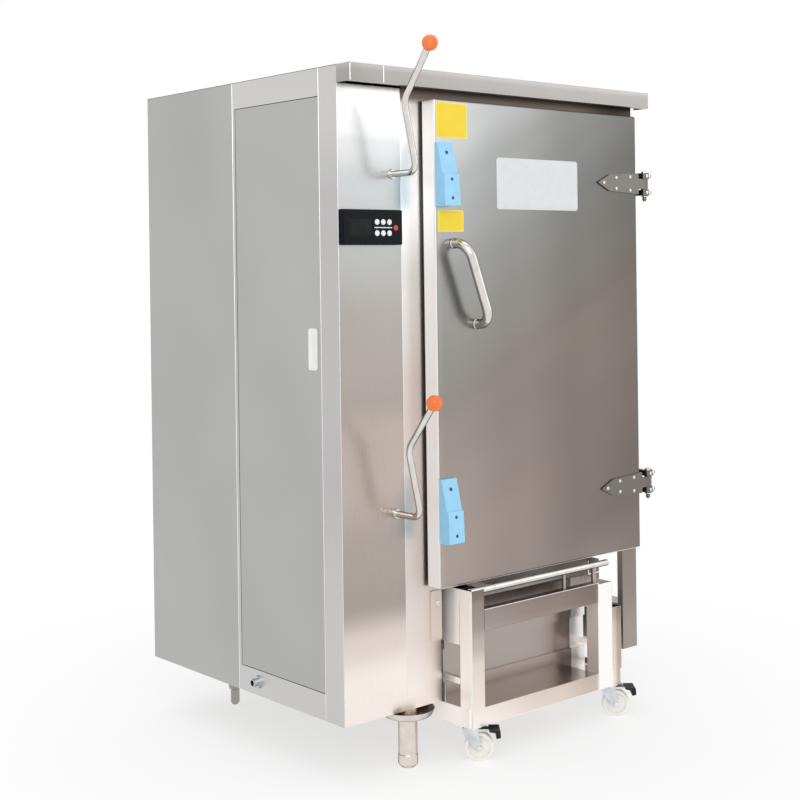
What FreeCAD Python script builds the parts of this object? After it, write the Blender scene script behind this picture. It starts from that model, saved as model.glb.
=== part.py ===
"""Steam cabinet: a stainless cabinet with a control column on the left, one insulated door with
two cam levers and strap hinges, a tray rack inside and a low transfer trolley parked under it.

Lengths are millimetres. In the sheet and in the functions below, x runs right from the body's left
face, y runs back from its front face and z runs up from the underside of the body; the finished
pieces stand with the origin on the floor, under the middle of the cabinet's outer box.
"""
import FreeCAD, Part
import math
import os
import types

import Sketcher

DRIVING = {
    # body
    "body_width": 1155,
    "body_depth": 930,
    "body_height": 1700,
    "leg_height": 160,
    "sheet": 1.5,
    "seam": 0.4,
    "hem_inset": 3,
    "hem_depth": 18,
    "inner_rear": 912,
    "side_overhang": 20,
    "rear_stub_reach": 25,
    # control column
    "column_cover_width": 213.6,
    "column_width": 337,
    "column_wall_at": 300,
    "cover_top": 1652.6,
    "module_depth": 472,
    "post_width": 76,
    "window_rear": 460,
    "window_bottom": 70,
    "window_top": 1626,
    # bay under the chamber
    "bay_right": 1090,
    "bay_top": 312,
    "sill_top": 137,
    "side_gap_front": 20,
    "side_gap_rear": 860,
    # chamber
    "opening_left": 345,
    "opening_right": 1060,
    "opening_bottom": 370,
    "opening_top": 1585,
    "chamber_floor": 352,
    "chamber_top": 1600,
    "chamber_rear": 850,
    "cove": 20,
    "insulation_thickness": 30,
    "duct_radius": 25,
    "duct_bore": 23,
    "duct_height": 1560,
    "sump_radius": 21,
    "sump_depth_at": 780,
    # hood
    "hood_width": 1170,
    "hood_reach": 57,
    "hood_bottom": 1653,
    # steam tank
    "tank_x": 150,
    "tank_y": 680,
    "tank_radius": 110,
    "tank_top": 700,
    "steam_height": 640,
    "steam_radius": 21,
    # tray rack
    "rack_left": 366,
    "rack_front": 70,
    "rack_rear": 725,
    "rack_top": 1560,
    "rack_tube": 25,
    "runner_first": 440,
    "runner_pitch": 105,
    "tray_depth": 46,
    # door
    "door_left": 285,
    "door_width": 825,
    "door_bottom": 318,
    "door_height": 1307,
    "door_front": 57,
    "door_back": 10,
    "door_rounding": 6,
    "plug_margin": 30,
    "gasket_width": 22,
    # hinges
    "hinge_x": 1150,
    "hinge_out": 55,
    "upper_hinge_z": 1421,
    "lower_hinge_z": 514,
    "knuckle_radius": 11,
    "hinge_pin_radius": 5,
    "hinge_clearance": 0.06,
    "barrel_half": 16.5,
    "hinge_arm_top": 34,
    "hinge_plate_half": 44,
    "strap_tip": 929,
    "strap_thickness": 5,
    # levers
    "lever_x": 184,
    "upper_lever_z": 1424,
    "lower_lever_z": 527,
    "lever_rest_tilt": 12.4,
    "lever_radius": 8.5,
    "lever_standoff": 98,
    "lever_arm": 187,
    "lever_knob_height": 319,
    "lever_knob_out": 231,
    "knob_radius": 20.5,
    "bush_radius": 13,
    # wedges on the door
    "wedge_width": 55,
    "wedge_half_height": 85,
    "wedge_top_rise": 10,
    "wedge_ramp_rise": 29,
    "wedge_step_rise": 36,
    "wedge_bottom_rise": 40,
    # pull handle
    "handle_x": 391,
    "handle_z": 1130.5,
    "handle_length": 234,
    "handle_tilt": 20.5,
    "handle_standoff": 56,
    "handle_bend": 45,
    "handle_radius": 13,
    # control panel
    "panel_left": 5,
    "panel_width": 198,
    "panel_bottom": 1237,
    "panel_height": 92,
    "panel_rise": 14,
    "button_radius": 7.5,
    "button_travel": 1,
    "button_pitch": 21,
    "button_first_x": 115.8,
    "button_low_z": 1267.7,
    "button_high_z": 1296.7,
    "red_button_x": 179.6,
    "red_button_z": 1282,
    # trolley
    "trolley_left": 360,
    "trolley_right": 973,
    "trolley_front": -95,
    "trolley_rear": 545,
    "beam_bottom": -60,
    "beam_top": -12,
    "beam_width": 50,
    "tube_wall": 2,
    "upright_right": 932,
    "right_post_width": 60,
    "front_tube_bottom": 194,
    "front_tube_top": 252,
    "rail_bottom": 267,
    "rail_top": 307,
    "front_bar_y": -80,
    "front_bar_z": 302,
    "splash_panel_y": 20,
    # casters
    "front_caster_y": -58,
    "rear_caster_y": 500,
    "wheel_radius": 40,
    "wheel_width": 24,
    "caster_trail": 24,
    "caster_turn": -40.8,
    "axle_radius": 4,
    "king_pin_radius": 6,
    "fork_gap": 13.5,
}


class Size:
    """A length or angle that remembers the sheet expression it was worked out from."""

    def __init__(self, value, text):
        self.value = value
        self.text = text

    def combine(self, other, sign, value):
        return Size(value, f"({self.text} {sign} {as_size(other).text})")

    def __add__(self, other):
        return self.combine(other, "+", self.value + as_size(other).value)

    def __sub__(self, other):
        return self.combine(other, "-", self.value - as_size(other).value)

    def __mul__(self, other):
        return self.combine(other, "*", self.value * as_size(other).value)

    def __truediv__(self, other):
        return self.combine(other, "/", self.value / as_size(other).value)

    def __radd__(self, other):
        return as_size(other) + self

    def __rsub__(self, other):
        return as_size(other) - self

    def __rmul__(self, other):
        return as_size(other) * self

    def __neg__(self):
        return Size(-self.value, f"(-1 * {self.text})")


def as_size(number):
    """Wrap a plain number so that it mixes with sheet sizes."""
    return number if isinstance(number, Size) else Size(float(number), f"({float(number)})")


def sine(angle):
    return Size(math.sin(math.radians(angle.value)), f"sin({angle.text} * 1deg)")


def cosine(angle):
    return Size(math.cos(math.radians(angle.value)), f"cos({angle.text} * 1deg)")


S = types.SimpleNamespace()
for size_name, size_value in DRIVING.items():
    setattr(S, size_name, Size(float(size_value), f"Sizes.{size_name}"))
T = S.sheet
LEFT_BEHIND_SKIN = T + S.seam
RIGHT_BEHIND_SKIN = S.body_width - T - S.seam
REAR_BEHIND_SKIN = S.body_depth - T - S.seam
TOP_BEHIND_SKIN = S.body_height - T - S.seam
DOOR_RIGHT = S.door_left + S.door_width
DOOR_TOP = S.door_bottom + S.door_height
RACK_RIGHT = S.opening_left + S.opening_right - S.rack_left
FRAME_X = -S.body_width / 2
FRAME_Y = (S.lever_knob_out + S.knob_radius - S.body_depth - S.rear_stub_reach) / 2
FRAME_Z = S.leg_height

DOCUMENT = FreeCAD.newDocument("SteamCabinet")
NODES = []
ABOUT_X = FreeCAD.Rotation(FreeCAD.Vector(0, 1, 0), 90)
ABOUT_Y = FreeCAD.Rotation(FreeCAD.Vector(1, 0, 0), -90)
UPRIGHT = FreeCAD.Rotation()


def make_sheet():
    """Write the driving sizes as plain numbers with an alias each."""
    sheet = DOCUMENT.addObject("Spreadsheet::Sheet", "Sizes")
    for row, (name, number) in enumerate(DRIVING.items(), start=1):
        sheet.set(f"A{row}", name)
        sheet.set(f"B{row}", str(number))
        sheet.setAlias(f"B{row}", name)
    DOCUMENT.recompute()


def bind(thing, prop, size):
    thing.setExpression(prop, as_size(size).text)


def seat(thing, origin, rotation=UPRIGHT):
    """Place a piece by its own origin, given in the body's corner frame."""
    thing.Placement = FreeCAD.Placement(FreeCAD.Vector(), rotation)
    for axis, place, shift in zip("xyz", origin, (FRAME_X, FRAME_Y, FRAME_Z)):
        bind(thing, f"Placement.Base.{axis}", place + shift)


def new_body(origin=(0, 0, 0), rotation=UPRIGHT):
    body = DOCUMENT.addObject("PartDesign::Body", "Body")
    seat(body, origin, rotation)
    return body


def node(label, thing):
    """Name a finished sub-part and keep it for the export."""
    thing.Label = label
    NODES.append(thing)
    return thing


def box_corners(left, bottom, right, top, radius=None):
    """The four corners of a rectangle, all rounded alike if a radius is given."""
    corners = [(left, bottom), (right, bottom), (right, top), (left, top)]
    return [corner + (radius,) for corner in corners] if radius is not None else corners


def new_sketch(body, plane, lift):
    sketch = body.newObject("Sketcher::SketchObject", "Outline")
    origin_plane = next(f for f in body.Origin.OriginFeatures if f.Role == f"{plane}_Plane")
    sketch.AttachmentSupport = [(origin_plane, "")]
    sketch.MapMode = "FlatFace"
    bind(sketch, "AttachmentOffset.Base.z", lift)
    return sketch


def fix_point(sketch, geometry, end, across, up):
    """Tie one point of a sketch to its two sheet coordinates."""
    for kind, size in (("DistanceX", across), ("DistanceY", up)):
        size = as_size(size)
        index = sketch.addConstraint(Sketcher.Constraint(kind, -1, 1, geometry, end, size.value))
        sketch.setExpression(f"Constraints[{index}]", size.text)


def unit(vector):
    return FreeCAD.Vector(vector).normalize()


def rounded_corner(corner, before, after, radius):
    """Where the straight sides stop at a rounded corner, and the arc between them."""
    to_before = unit(before - corner)
    to_after = unit(after - corner)
    half = to_before.getAngle(to_after) / 2
    reach = radius / math.tan(half)
    centre = corner + unit(to_before + to_after) * (radius / math.sin(half))
    start = corner + to_before * reach
    stop = corner + to_after * reach
    turns_left = (corner - before).cross(after - corner).z > 0
    first, last = (start, stop) if turns_left else (stop, start)
    angles = [math.atan2(point.y - centre.y, point.x - centre.x) for point in (first, last)]
    if angles[1] < angles[0]:
        angles[1] += 2 * math.pi
    arc = Part.ArcOfCircle(Part.Circle(centre, FreeCAD.Vector(0, 0, 1), radius), *angles)
    return start, stop, arc, turns_left


def draw(sketch, corners, closed=True):
    """Draw straight sides through the corners, with an arc where a corner carries a radius."""
    points = [FreeCAD.Vector(as_size(c[0]).value, as_size(c[1]).value, 0) for c in corners]
    count = len(points)
    entries, exits, arcs = list(points), list(points), [None] * count
    for i, corner in enumerate(corners):
        inner = closed or 0 < i < count - 1
        if inner and len(corner) > 2:
            radius = as_size(corner[2])
            entries[i], exits[i], arc, left = rounded_corner(
                points[i], points[i - 1], points[(i + 1) % count], radius.value
            )
            arcs[i] = (arc, left, radius)
    lines = {}
    for i in range(count if closed else count - 1):
        side = Part.LineSegment(exits[i], entries[(i + 1) % count])
        lines[i] = sketch.addGeometry(side, False)
    for i, corner in enumerate(corners):
        into, out = lines.get((i - 1) % count), lines.get(i)
        if not closed and i == 0:
            into = None
        if arcs[i] is None:
            if into is not None and out is not None:
                sketch.addConstraint(Sketcher.Constraint("Coincident", into, 2, out, 1))
            geometry, end = (out, 1) if out is not None else (into, 2)
            fix_point(sketch, geometry, end, corner[0], corner[1])
            continue
        arc, left, radius = arcs[i]
        bend = sketch.addGeometry(arc, False)
        first, last = (1, 2) if left else (2, 1)
        sketch.addConstraint(Sketcher.Constraint("Tangent", into, 2, bend, first))
        sketch.addConstraint(Sketcher.Constraint("Tangent", out, 1, bend, last))
        index = sketch.addConstraint(Sketcher.Constraint("Radius", bend, radius.value))
        sketch.setExpression(f"Constraints[{index}]", radius.text)
        tip = sketch.addGeometry(Part.Point(points[i]), True)
        sketch.addConstraint(Sketcher.Constraint("PointOnObject", tip, 1, into))
        sketch.addConstraint(Sketcher.Constraint("PointOnObject", tip, 1, out))
        fix_point(sketch, tip, 1, corner[0], corner[1])


def draw_circle(sketch, across, up, radius):
    radius = as_size(radius)
    middle = FreeCAD.Vector(as_size(across).value, as_size(up).value, 0)
    ring = sketch.addGeometry(Part.Circle(middle, FreeCAD.Vector(0, 0, 1), radius.value), False)
    index = sketch.addConstraint(Sketcher.Constraint("Radius", ring, radius.value))
    sketch.setExpression(f"Constraints[{index}]", radius.text)
    fix_point(sketch, ring, 3, across, up)


def run_between(body, kind, plane, loops, start, stop, circles):
    """Pad or pocket closed outlines between two stations along the plane's own axis."""
    start, stop = as_size(start), as_size(stop)
    if start.value > stop.value:
        start, stop = stop, start
    lift = -stop if plane == "XZ" else start
    sketch = new_sketch(body, plane, lift)
    for corners in loops:
        draw(sketch, corners)
    for circle in circles:
        draw_circle(sketch, *circle)
    feature = body.newObject(f"PartDesign::{kind}", kind)
    feature.Profile = sketch
    bind(feature, "Length", stop - start)
    feature.Reversed = kind == "Pocket"
    return feature


def pad(body, plane, loops, start, stop, circles=()):
    return run_between(body, "Pad", plane, loops, start, stop, circles)


def pocket(body, plane, loops, start, stop, circles=()):
    """Cut outlines out of a body, and make sure that something was cut."""
    DOCUMENT.recompute()
    before = body.Shape.Volume
    feature = run_between(body, "Pocket", plane, loops, start, stop, circles)
    DOCUMENT.recompute()
    if body.Shape.Volume > before - 1e-6:
        raise RuntimeError(f"a pocket in {body.Label} cuts nothing")
    return feature


def turned(corners, origin, rotation=UPRIGHT):
    """Spin an outline of radius against height round the piece's own axis."""
    body = new_body(origin, rotation)
    sketch = new_sketch(body, "XZ", 0)
    draw(sketch, corners)
    feature = body.newObject("PartDesign::Revolution", "Revolution")
    feature.Profile = sketch
    feature.ReferenceAxis = (sketch, ["V_Axis"])
    feature.Angle = 360
    return body


def bent_rod(path, radius, origin, rotation):
    """A round rod bent in its own YZ plane; it starts along Y."""
    body = new_body(origin, rotation)
    route = new_sketch(body, "YZ", 0)
    draw(route, path, closed=False)
    section = new_sketch(body, "XZ", -as_size(path[0][0]))
    draw_circle(section, 0, path[0][1], radius)
    DOCUMENT.recompute()
    pipe = body.newObject("PartDesign::AdditivePipe", "Pipe")
    pipe.Profile = section
    pipe.Spine = (route, [f"Edge{i + 1}" for i in range(len(route.Shape.Edges))])
    return body


def fillet(body, chooser, radius):
    """Round the edges of a body that the chooser picks, by their middle and direction."""
    DOCUMENT.recompute()
    base = body.Tip
    names = []
    for i, edge in enumerate(base.Shape.Edges, start=1):
        middle = edge.valueAt((edge.FirstParameter + edge.LastParameter) / 2)
        along = unit(edge.tangentAt(edge.FirstParameter))
        if chooser(middle, along):
            names.append(f"Edge{i}")
    feature = body.newObject("PartDesign::Fillet", "Fillet")
    feature.Base = (base, names)
    bind(feature, "Radius", radius)
    DOCUMENT.recompute()
    return feature


def block(x_range, y_range, z_range):
    """A plain box between two stations on each axis."""
    solid = DOCUMENT.addObject("Part::Box", "Block")
    for prop, (low, high) in zip(("Length", "Width", "Height"), (x_range, y_range, z_range)):
        bind(solid, prop, high - as_size(low))
    seat(solid, (as_size(x_range[0]), as_size(y_range[0]), as_size(z_range[0])))
    return solid


def rod(radius, length, origin, rotation=UPRIGHT):
    """A plain cylinder that starts at its origin and runs along its turned Z axis."""
    solid = DOCUMENT.addObject("Part::Cylinder", "Rod")
    bind(solid, "Radius", radius)
    bind(solid, "Height", length)
    seat(solid, origin, rotation)
    return solid


def joined(*pieces):
    union = DOCUMENT.addObject("Part::MultiFuse", "Joined")
    union.Shapes = list(pieces)
    return union


def cut(base, *tools):
    """Take the tools away from the base."""
    difference = DOCUMENT.addObject("Part::Cut", "Trimmed")
    difference.Base = base
    difference.Tool = tools[0] if len(tools) == 1 else joined(*tools)
    return difference


def sheet_panel(label, plane, extent, face, inward, windows=(), circles=(), inset=S.hem_inset):
    """A sheet-metal panel: a skin, a stiffening hem behind its edge and one round each window."""
    body = new_body()
    left, bottom, right, top = extent
    skin_back = face + inward * T
    hem_back = face + inward * S.hem_depth
    window_loops = [box_corners(*window) for window in windows]
    pad(body, plane, [box_corners(*extent)] + window_loops, face, skin_back, circles)
    if inset is not None:
        outer = box_corners(left + inset, bottom + inset, right - inset, top - inset)
        inner = box_corners(left + inset + T, bottom + inset + T, right - inset - T, top - inset - T)
        pad(body, plane, [outer, inner], skin_back, hem_back)
    for low_u, low_v, high_u, high_v in windows:
        outer = box_corners(low_u - T, low_v - T, high_u + T, high_v + T)
        inner = box_corners(low_u, low_v, high_u, high_v)
        pad(body, plane, [outer, inner], skin_back, hem_back)
    return node(label, body) if label else body


PIVOT_PIN_X = as_size(4)
PIVOT_PIN_Y = S.window_rear - 6
PIVOT_PIN_RADIUS = as_size(2)
DRAIN_Y = as_size(382)
DRAIN_Z = as_size(38)


def left_side():
    """The plain rear section and the framed front section of the left side."""
    rear_extent = (S.module_depth + S.seam * 2, as_size(0), REAR_BEHIND_SKIN, TOP_BEHIND_SKIN)
    sheet_panel("left_rear_panel", "YZ", rear_extent, 0, 1)
    window = (S.post_width, S.window_bottom, S.window_rear, S.window_top)
    extent = (as_size(0), as_size(0), S.module_depth, TOP_BEHIND_SKIN)
    frame = sheet_panel(None, "YZ", extent, 0, 1, windows=[window], inset=None)
    hole = PIVOT_PIN_RADIUS + S.hinge_clearance
    reach = T * 4
    levels = (S.window_bottom, S.window_top)
    holes = [rod(hole, reach, (PIVOT_PIN_X, PIVOT_PIN_Y, level - reach / 2)) for level in levels]
    drain_hole = rod(12, T * 4, (-T, DRAIN_Y, DRAIN_Z), ABOUT_X)
    node("left_frame", cut(frame, *holes, drain_hole))


def access_panel():
    """The service door of the column: a hemmed panel on two pivot pins, with a flush pull."""
    gap, lug_height = as_size(2), as_size(12)
    extent = (S.post_width + gap, S.window_bottom + gap, S.window_rear - gap - 0.5, S.window_top - gap)
    door = sheet_panel(None, "YZ", extent, 0, 1, inset=S.hem_inset * 3)
    lug_x = (T, PIVOT_PIN_X + 5)
    lug_y = (PIVOT_PIN_Y - 6, PIVOT_PIN_Y + 3)
    lugs = []
    for level, shift in ((S.window_bottom, 1), (S.window_top, -1)):
        inner = level + shift * gap
        lug_low = inner if shift > 0 else inner - lug_height
        lugs.append(block(lug_x, lug_y, (lug_low, lug_low + lug_height)))
        pin_low = level - T - 2 if shift > 0 else inner - 1
        lugs.append(rod(PIVOT_PIN_RADIUS, gap + T + 3, (PIVOT_PIN_X, PIVOT_PIN_Y, pin_low)))
    node("access_panel", joined(door, *lugs))
    pull = new_body((as_size(0), as_size(92), as_size(911)))
    pad(pull, "YZ", [box_corners(0, 0, 36, 110, 7)], -4, 0)
    pocket(pull, "YZ", [box_corners(9, 22, 27, 88, 5)], -4, -1.5)
    node("flush_pull", pull)


def right_side():
    """The right skin with its open gap, and the sill and posts that stand behind it."""
    gap_window = (S.side_gap_front, S.sill_top, S.side_gap_rear, S.bay_top)
    extent = (LEFT_BEHIND_SKIN, as_size(0), REAR_BEHIND_SKIN, TOP_BEHIND_SKIN)
    body = new_body()
    pad(body, "YZ", [box_corners(*extent), box_corners(*gap_window)], S.body_width - T, S.body_width)
    node("right_panel", body)
    inside = S.bay_right
    sill = new_body()
    channel = [
        (inside, 0),
        (RIGHT_BEHIND_SKIN, 0),
        (RIGHT_BEHIND_SKIN, T),
        (inside + T, T),
        (inside + T, S.sill_top - T),
        (RIGHT_BEHIND_SKIN, S.sill_top - T),
        (RIGHT_BEHIND_SKIN, S.sill_top),
        (inside, S.sill_top),
    ]
    pad(sill, "XZ", [channel], LEFT_BEHIND_SKIN, S.inner_rear)
    for low, high in ((LEFT_BEHIND_SKIN, S.side_gap_front), (S.side_gap_rear, S.inner_rear)):
        tube = [box_corners(inside, low, RIGHT_BEHIND_SKIN, high)]
        tube.append(box_corners(inside + T, low + T, RIGHT_BEHIND_SKIN - T, high - T))
        pad(sill, "XY", tube, S.sill_top - T, S.bay_top - S.seam)
    node("right_sill", sill)


def rear_and_top():
    """The rear skin with the steam duct and the water stub, and the lid of the body."""
    middle = (S.opening_left + S.opening_right) / 2
    rear = sheet_panel(
        None,
        "XZ",
        (LEFT_BEHIND_SKIN, as_size(0), RIGHT_BEHIND_SKIN, TOP_BEHIND_SKIN),
        S.body_depth,
        -1,
        circles=[(middle, S.duct_height, S.duct_bore), (150, 200, 8)],
        inset=as_size(25),
    )
    duct = new_body()
    rings = [(middle, S.duct_height, S.duct_radius), (middle, S.duct_height, S.duct_bore)]
    pad(duct, "XZ", [], S.chamber_rear + T * 2, S.body_depth + S.rear_stub_reach, circles=rings)
    stub = new_body()
    stub_reach = S.body_depth + S.rear_stub_reach - 3
    pad(stub, "XZ", [], S.body_depth - T, stub_reach, circles=[(150, 200, 10.5), (150, 200, 8)])
    node("rear_panel", joined(rear, duct, stub))
    extent = (as_size(0), as_size(0), S.body_width, S.body_depth)
    sheet_panel("top_panel", "XY", extent, S.body_height, -1, inset=as_size(25))


def front_sheets():
    """The column's front cover, the door frame with its guide plate, and the hood over the door."""
    bush_hole = S.bush_radius - 2
    cover = sheet_panel(
        None,
        "XZ",
        (LEFT_BEHIND_SKIN, as_size(0), S.column_cover_width, S.cover_top),
        0,
        1,
        windows=[(S.panel_left + 22, S.panel_bottom + 20, S.panel_left + 176, S.panel_bottom + 72)],
        circles=[(S.lever_x, S.upper_lever_z, bush_hole), (S.lever_x, S.lower_lever_z, bush_hole)],
    )
    node("column_cover", cover)
    frame = new_body()
    left = S.column_cover_width + S.seam
    outline = [
        (left, 0),
        (S.column_width, 0),
        (S.column_width, S.bay_top),
        (S.bay_right, S.bay_top),
        (S.bay_right, 0),
        (S.body_width, 0),
        (S.body_width, TOP_BEHIND_SKIN),
        (left, TOP_BEHIND_SKIN),
    ]
    mouth = box_corners(S.opening_left, S.opening_bottom, S.opening_right, S.opening_top, 8)
    pad(frame, "XZ", [outline, mouth], 0, T)
    pad(frame, "XZ", [box_corners(299, 168, 338, 303, 6)], -4, 0, circles=[(326, 268, 5)])
    node("door_frame", frame)
    hood = new_body()
    reach = S.hood_reach
    profile = [
        (-reach, S.hood_bottom),
        (-reach + 16, S.hood_bottom),
        (-reach + 16, S.hood_bottom + T),
        (-reach + T, S.hood_bottom + T),
        (-reach + T, S.body_height - T),
        (-T - 0.1, S.body_height - T),
        (-T - 0.1, S.hood_bottom + 6),
        (-0.1, S.hood_bottom + 6),
        (-0.1, S.body_height, T / 2),
        (-reach, S.body_height, T * 2),
    ]
    pad(hood, "YZ", [profile], 0, S.hood_width)
    cap = box_corners(-reach, S.hood_bottom, -0.1, S.body_height - T)
    for start in (as_size(0), S.hood_width - T):
        pad(hood, "YZ", [cap], start, start + T)
    node("hood", hood)


def column_inside():
    """The bent sheet that floors the column and parts it from the bay and the chamber."""
    wall = new_body()
    right = S.column_width
    inner = S.column_wall_at
    profile = [
        (LEFT_BEHIND_SKIN, 0),
        (right, 0),
        (right, S.bay_top),
        (inner + T, S.bay_top),
        (inner + T, S.body_height - 30),
        (inner, S.body_height - 30),
        (inner, S.bay_top - T),
        (right - T, S.bay_top - T),
        (right - T, T),
        (LEFT_BEHIND_SKIN, T),
    ]
    pad(wall, "XZ", [profile], LEFT_BEHIND_SKIN + 0.2, S.inner_rear)
    DOCUMENT.recompute()
    pipe_hole = rod(S.steam_radius + 1, 6, (inner - 2, S.tank_y, S.steam_height), ABOUT_X)
    node("column_wall", cut(wall, pipe_hole))


def steam_source():
    """The water tank with the pipe to the chamber, and its heater flange with three hairpins."""
    radius, top, wall = S.tank_radius, S.tank_top, as_size(3)
    neck, flange = as_size(60), as_size(85)
    profile = [
        (radius - wall, T + 0.1),
        (radius, T + 0.1),
        (radius, top - 20, 30),
        (neck + wall, top),
        (flange, top),
        (flange, top + 8),
        (neck, top + 8),
        (neck, top - wall),
        (radius - wall, top - 20 - wall, 27),
        (radius - wall, 63),
        (0, 63),
        (0, 60),
        (radius - wall, 60),
    ]
    tank = turned(profile, (S.tank_x, S.tank_y, as_size(0)))
    outlet_start = (S.tank_x + radius - wall * 3, S.tank_y, S.steam_height)
    outlet = rod(S.steam_radius - 1, wall * 5, outlet_start, ABOUT_X)
    pipe_start = S.tank_x + radius - 6
    pipe_length = S.opening_left - T - 0.2 - pipe_start
    middle = pipe_length / 2
    pipe = turned(
        [
            (S.steam_radius - 2, 0),
            (S.steam_radius, 0),
            (S.steam_radius, middle - 24),
            (S.steam_radius + 7, middle - 24),
            (S.steam_radius + 7, middle - 6),
            (S.steam_radius, middle - 6),
            (S.steam_radius, pipe_length),
            (S.steam_radius - 2, pipe_length),
        ],
        (pipe_start, S.tank_y, S.steam_height),
        ABOUT_X,
    )
    node("steam_tank", joined(cut(tank, outlet), pipe))
    seat_level = top + 8
    plug = turned(
        [
            (0, seat_level - 6),
            (neck - 1, seat_level - 6),
            (neck - 1, seat_level),
            (flange, seat_level),
            (flange, seat_level + 8),
            (38, seat_level + 8),
            (38, seat_level + 50, 6),
            (0, seat_level + 50),
        ],
        (S.tank_x, S.tank_y, as_size(0)),
    )
    pieces = [plug]
    bend, low = as_size(12), as_size(150)
    for turn in range(3):
        angle = as_size(turn * 120)
        centre_x = S.tank_x + cosine(angle) * 32
        centre_y = S.tank_y + sine(angle) * 32
        around = FreeCAD.Rotation(FreeCAD.Vector(0, 0, 1), turn * 120 + 90)
        for side in (-1, 1):
            leg_x = centre_x - sine(angle) * bend * side
            leg_y = centre_y + cosine(angle) * bend * side
            pieces.append(rod(4, seat_level - low - 5, (leg_x, leg_y, low)))
        loop = DOCUMENT.addObject("Part::Torus", "Hairpin")
        bind(loop, "Radius1", bend)
        bind(loop, "Radius2", 4)
        loop.Angle3 = 180
        seat(loop, (centre_x, centre_y, low), around.multiply(ABOUT_Y))
        pieces.append(loop)
    node("heater", joined(*pieces))
    drain = turned(
        [
            (8, -S.side_overhang),
            (11, -S.side_overhang),
            (11, -6),
            (17, -6),
            (17, 0),
            (11.5, 0),
            (11.5, 30),
            (8, 30),
        ],
        (as_size(0), DRAIN_Y, DRAIN_Z),
        ABOUT_X,
    )
    node("drain_fitting", drain)


def chamber():
    """The coved liner, the insulation round it and the ceiling of the bay under it."""
    middle = (S.opening_left + S.opening_right) / 2
    liner = new_body()
    left, right, floor, top = S.opening_left, S.opening_right, S.chamber_floor, S.chamber_top
    outer = box_corners(left - T, floor - T, right + T, top + T, S.cove + T)
    inner = box_corners(left, floor, right, top, S.cove)
    mouth = LEFT_BEHIND_SKIN - 0.3
    pad(liner, "XZ", [outer], mouth, S.chamber_rear + T)
    pocket(liner, "XZ", [inner], mouth, S.chamber_rear)
    sump_bore = (middle, S.sump_depth_at, S.sump_radius - T)
    pocket(liner, "XY", [], floor - T - 1, floor + 1, [sump_bore])
    sump_wall = (middle, S.sump_depth_at, S.sump_radius)
    pad(liner, "XY", [], S.bay_top - 8, floor - T, circles=[sump_wall, sump_bore])
    duct_bore = (middle, S.duct_height, S.duct_bore)
    pocket(liner, "XZ", [], S.chamber_rear - 1, S.chamber_rear + T + 1, [duct_bore])
    steam_bore = (S.tank_y, S.steam_height, S.steam_radius - 2)
    pocket(liner, "YZ", [], left - T - 1, left + 1, [steam_bore])
    node("chamber_liner", liner)
    thick, ease = S.insulation_thickness, as_size(0.5)
    low_x, high_x = left - T - ease, right + T + ease
    low_z, high_z = floor - T - ease, top + T + ease
    rear = S.chamber_rear + T + ease
    wrap = block((low_x - thick, high_x + thick), (22, rear + thick), (low_z - thick, high_z + thick))
    hollow = block((low_x, high_x), (0, rear), (low_z, high_z))
    pipe_hole = rod(S.steam_radius + 1, thick + 4, (low_x - thick - 2, S.tank_y, S.steam_height), ABOUT_X)
    duct_hole = rod(S.duct_radius + 1, thick + 4, (middle, rear - 2, S.duct_height), ABOUT_Y)
    sump_hole = rod(S.sump_radius + 1, thick + 4, (middle, S.sump_depth_at, low_z - thick - 2))
    node("insulation", cut(wrap, hollow, pipe_hole, duct_hole, sump_hole))
    bay_ceiling(low_z - thick - 0.5)


def bay_ceiling(rib_top):
    """The sheet over the bay, hemmed and ribbed up to the insulation, with a hole for the sump."""
    ceiling = new_body()
    left, right = S.column_width + 1, S.bay_right - 1
    front, back = LEFT_BEHIND_SKIN + 0.2, S.inner_rear - 1
    skin_top = S.bay_top + T
    edge = box_corners(left, front, right, back)
    sump_hole = ((S.opening_left + S.opening_right) / 2, S.sump_depth_at, S.sump_radius + 1)
    pad(ceiling, "XY", [edge], S.bay_top, skin_top, [sump_hole])
    pad(ceiling, "XY", [edge, box_corners(left + T, front + T, right - T, back - T)], skin_top, rib_top)
    for share in (0.25, 0.6, 0.8):
        rib_left = left + (right - left) * share - 30
        rib = box_corners(rib_left, front + T, rib_left + T, back - T)
        pad(ceiling, "XY", [rib], skin_top, rib_top)
    node("bay_ceiling", ceiling)


RUNNER_WEB = as_size(2)
RUNNER_FLANGE = as_size(20)
RUNNER_COUNT = 10


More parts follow.
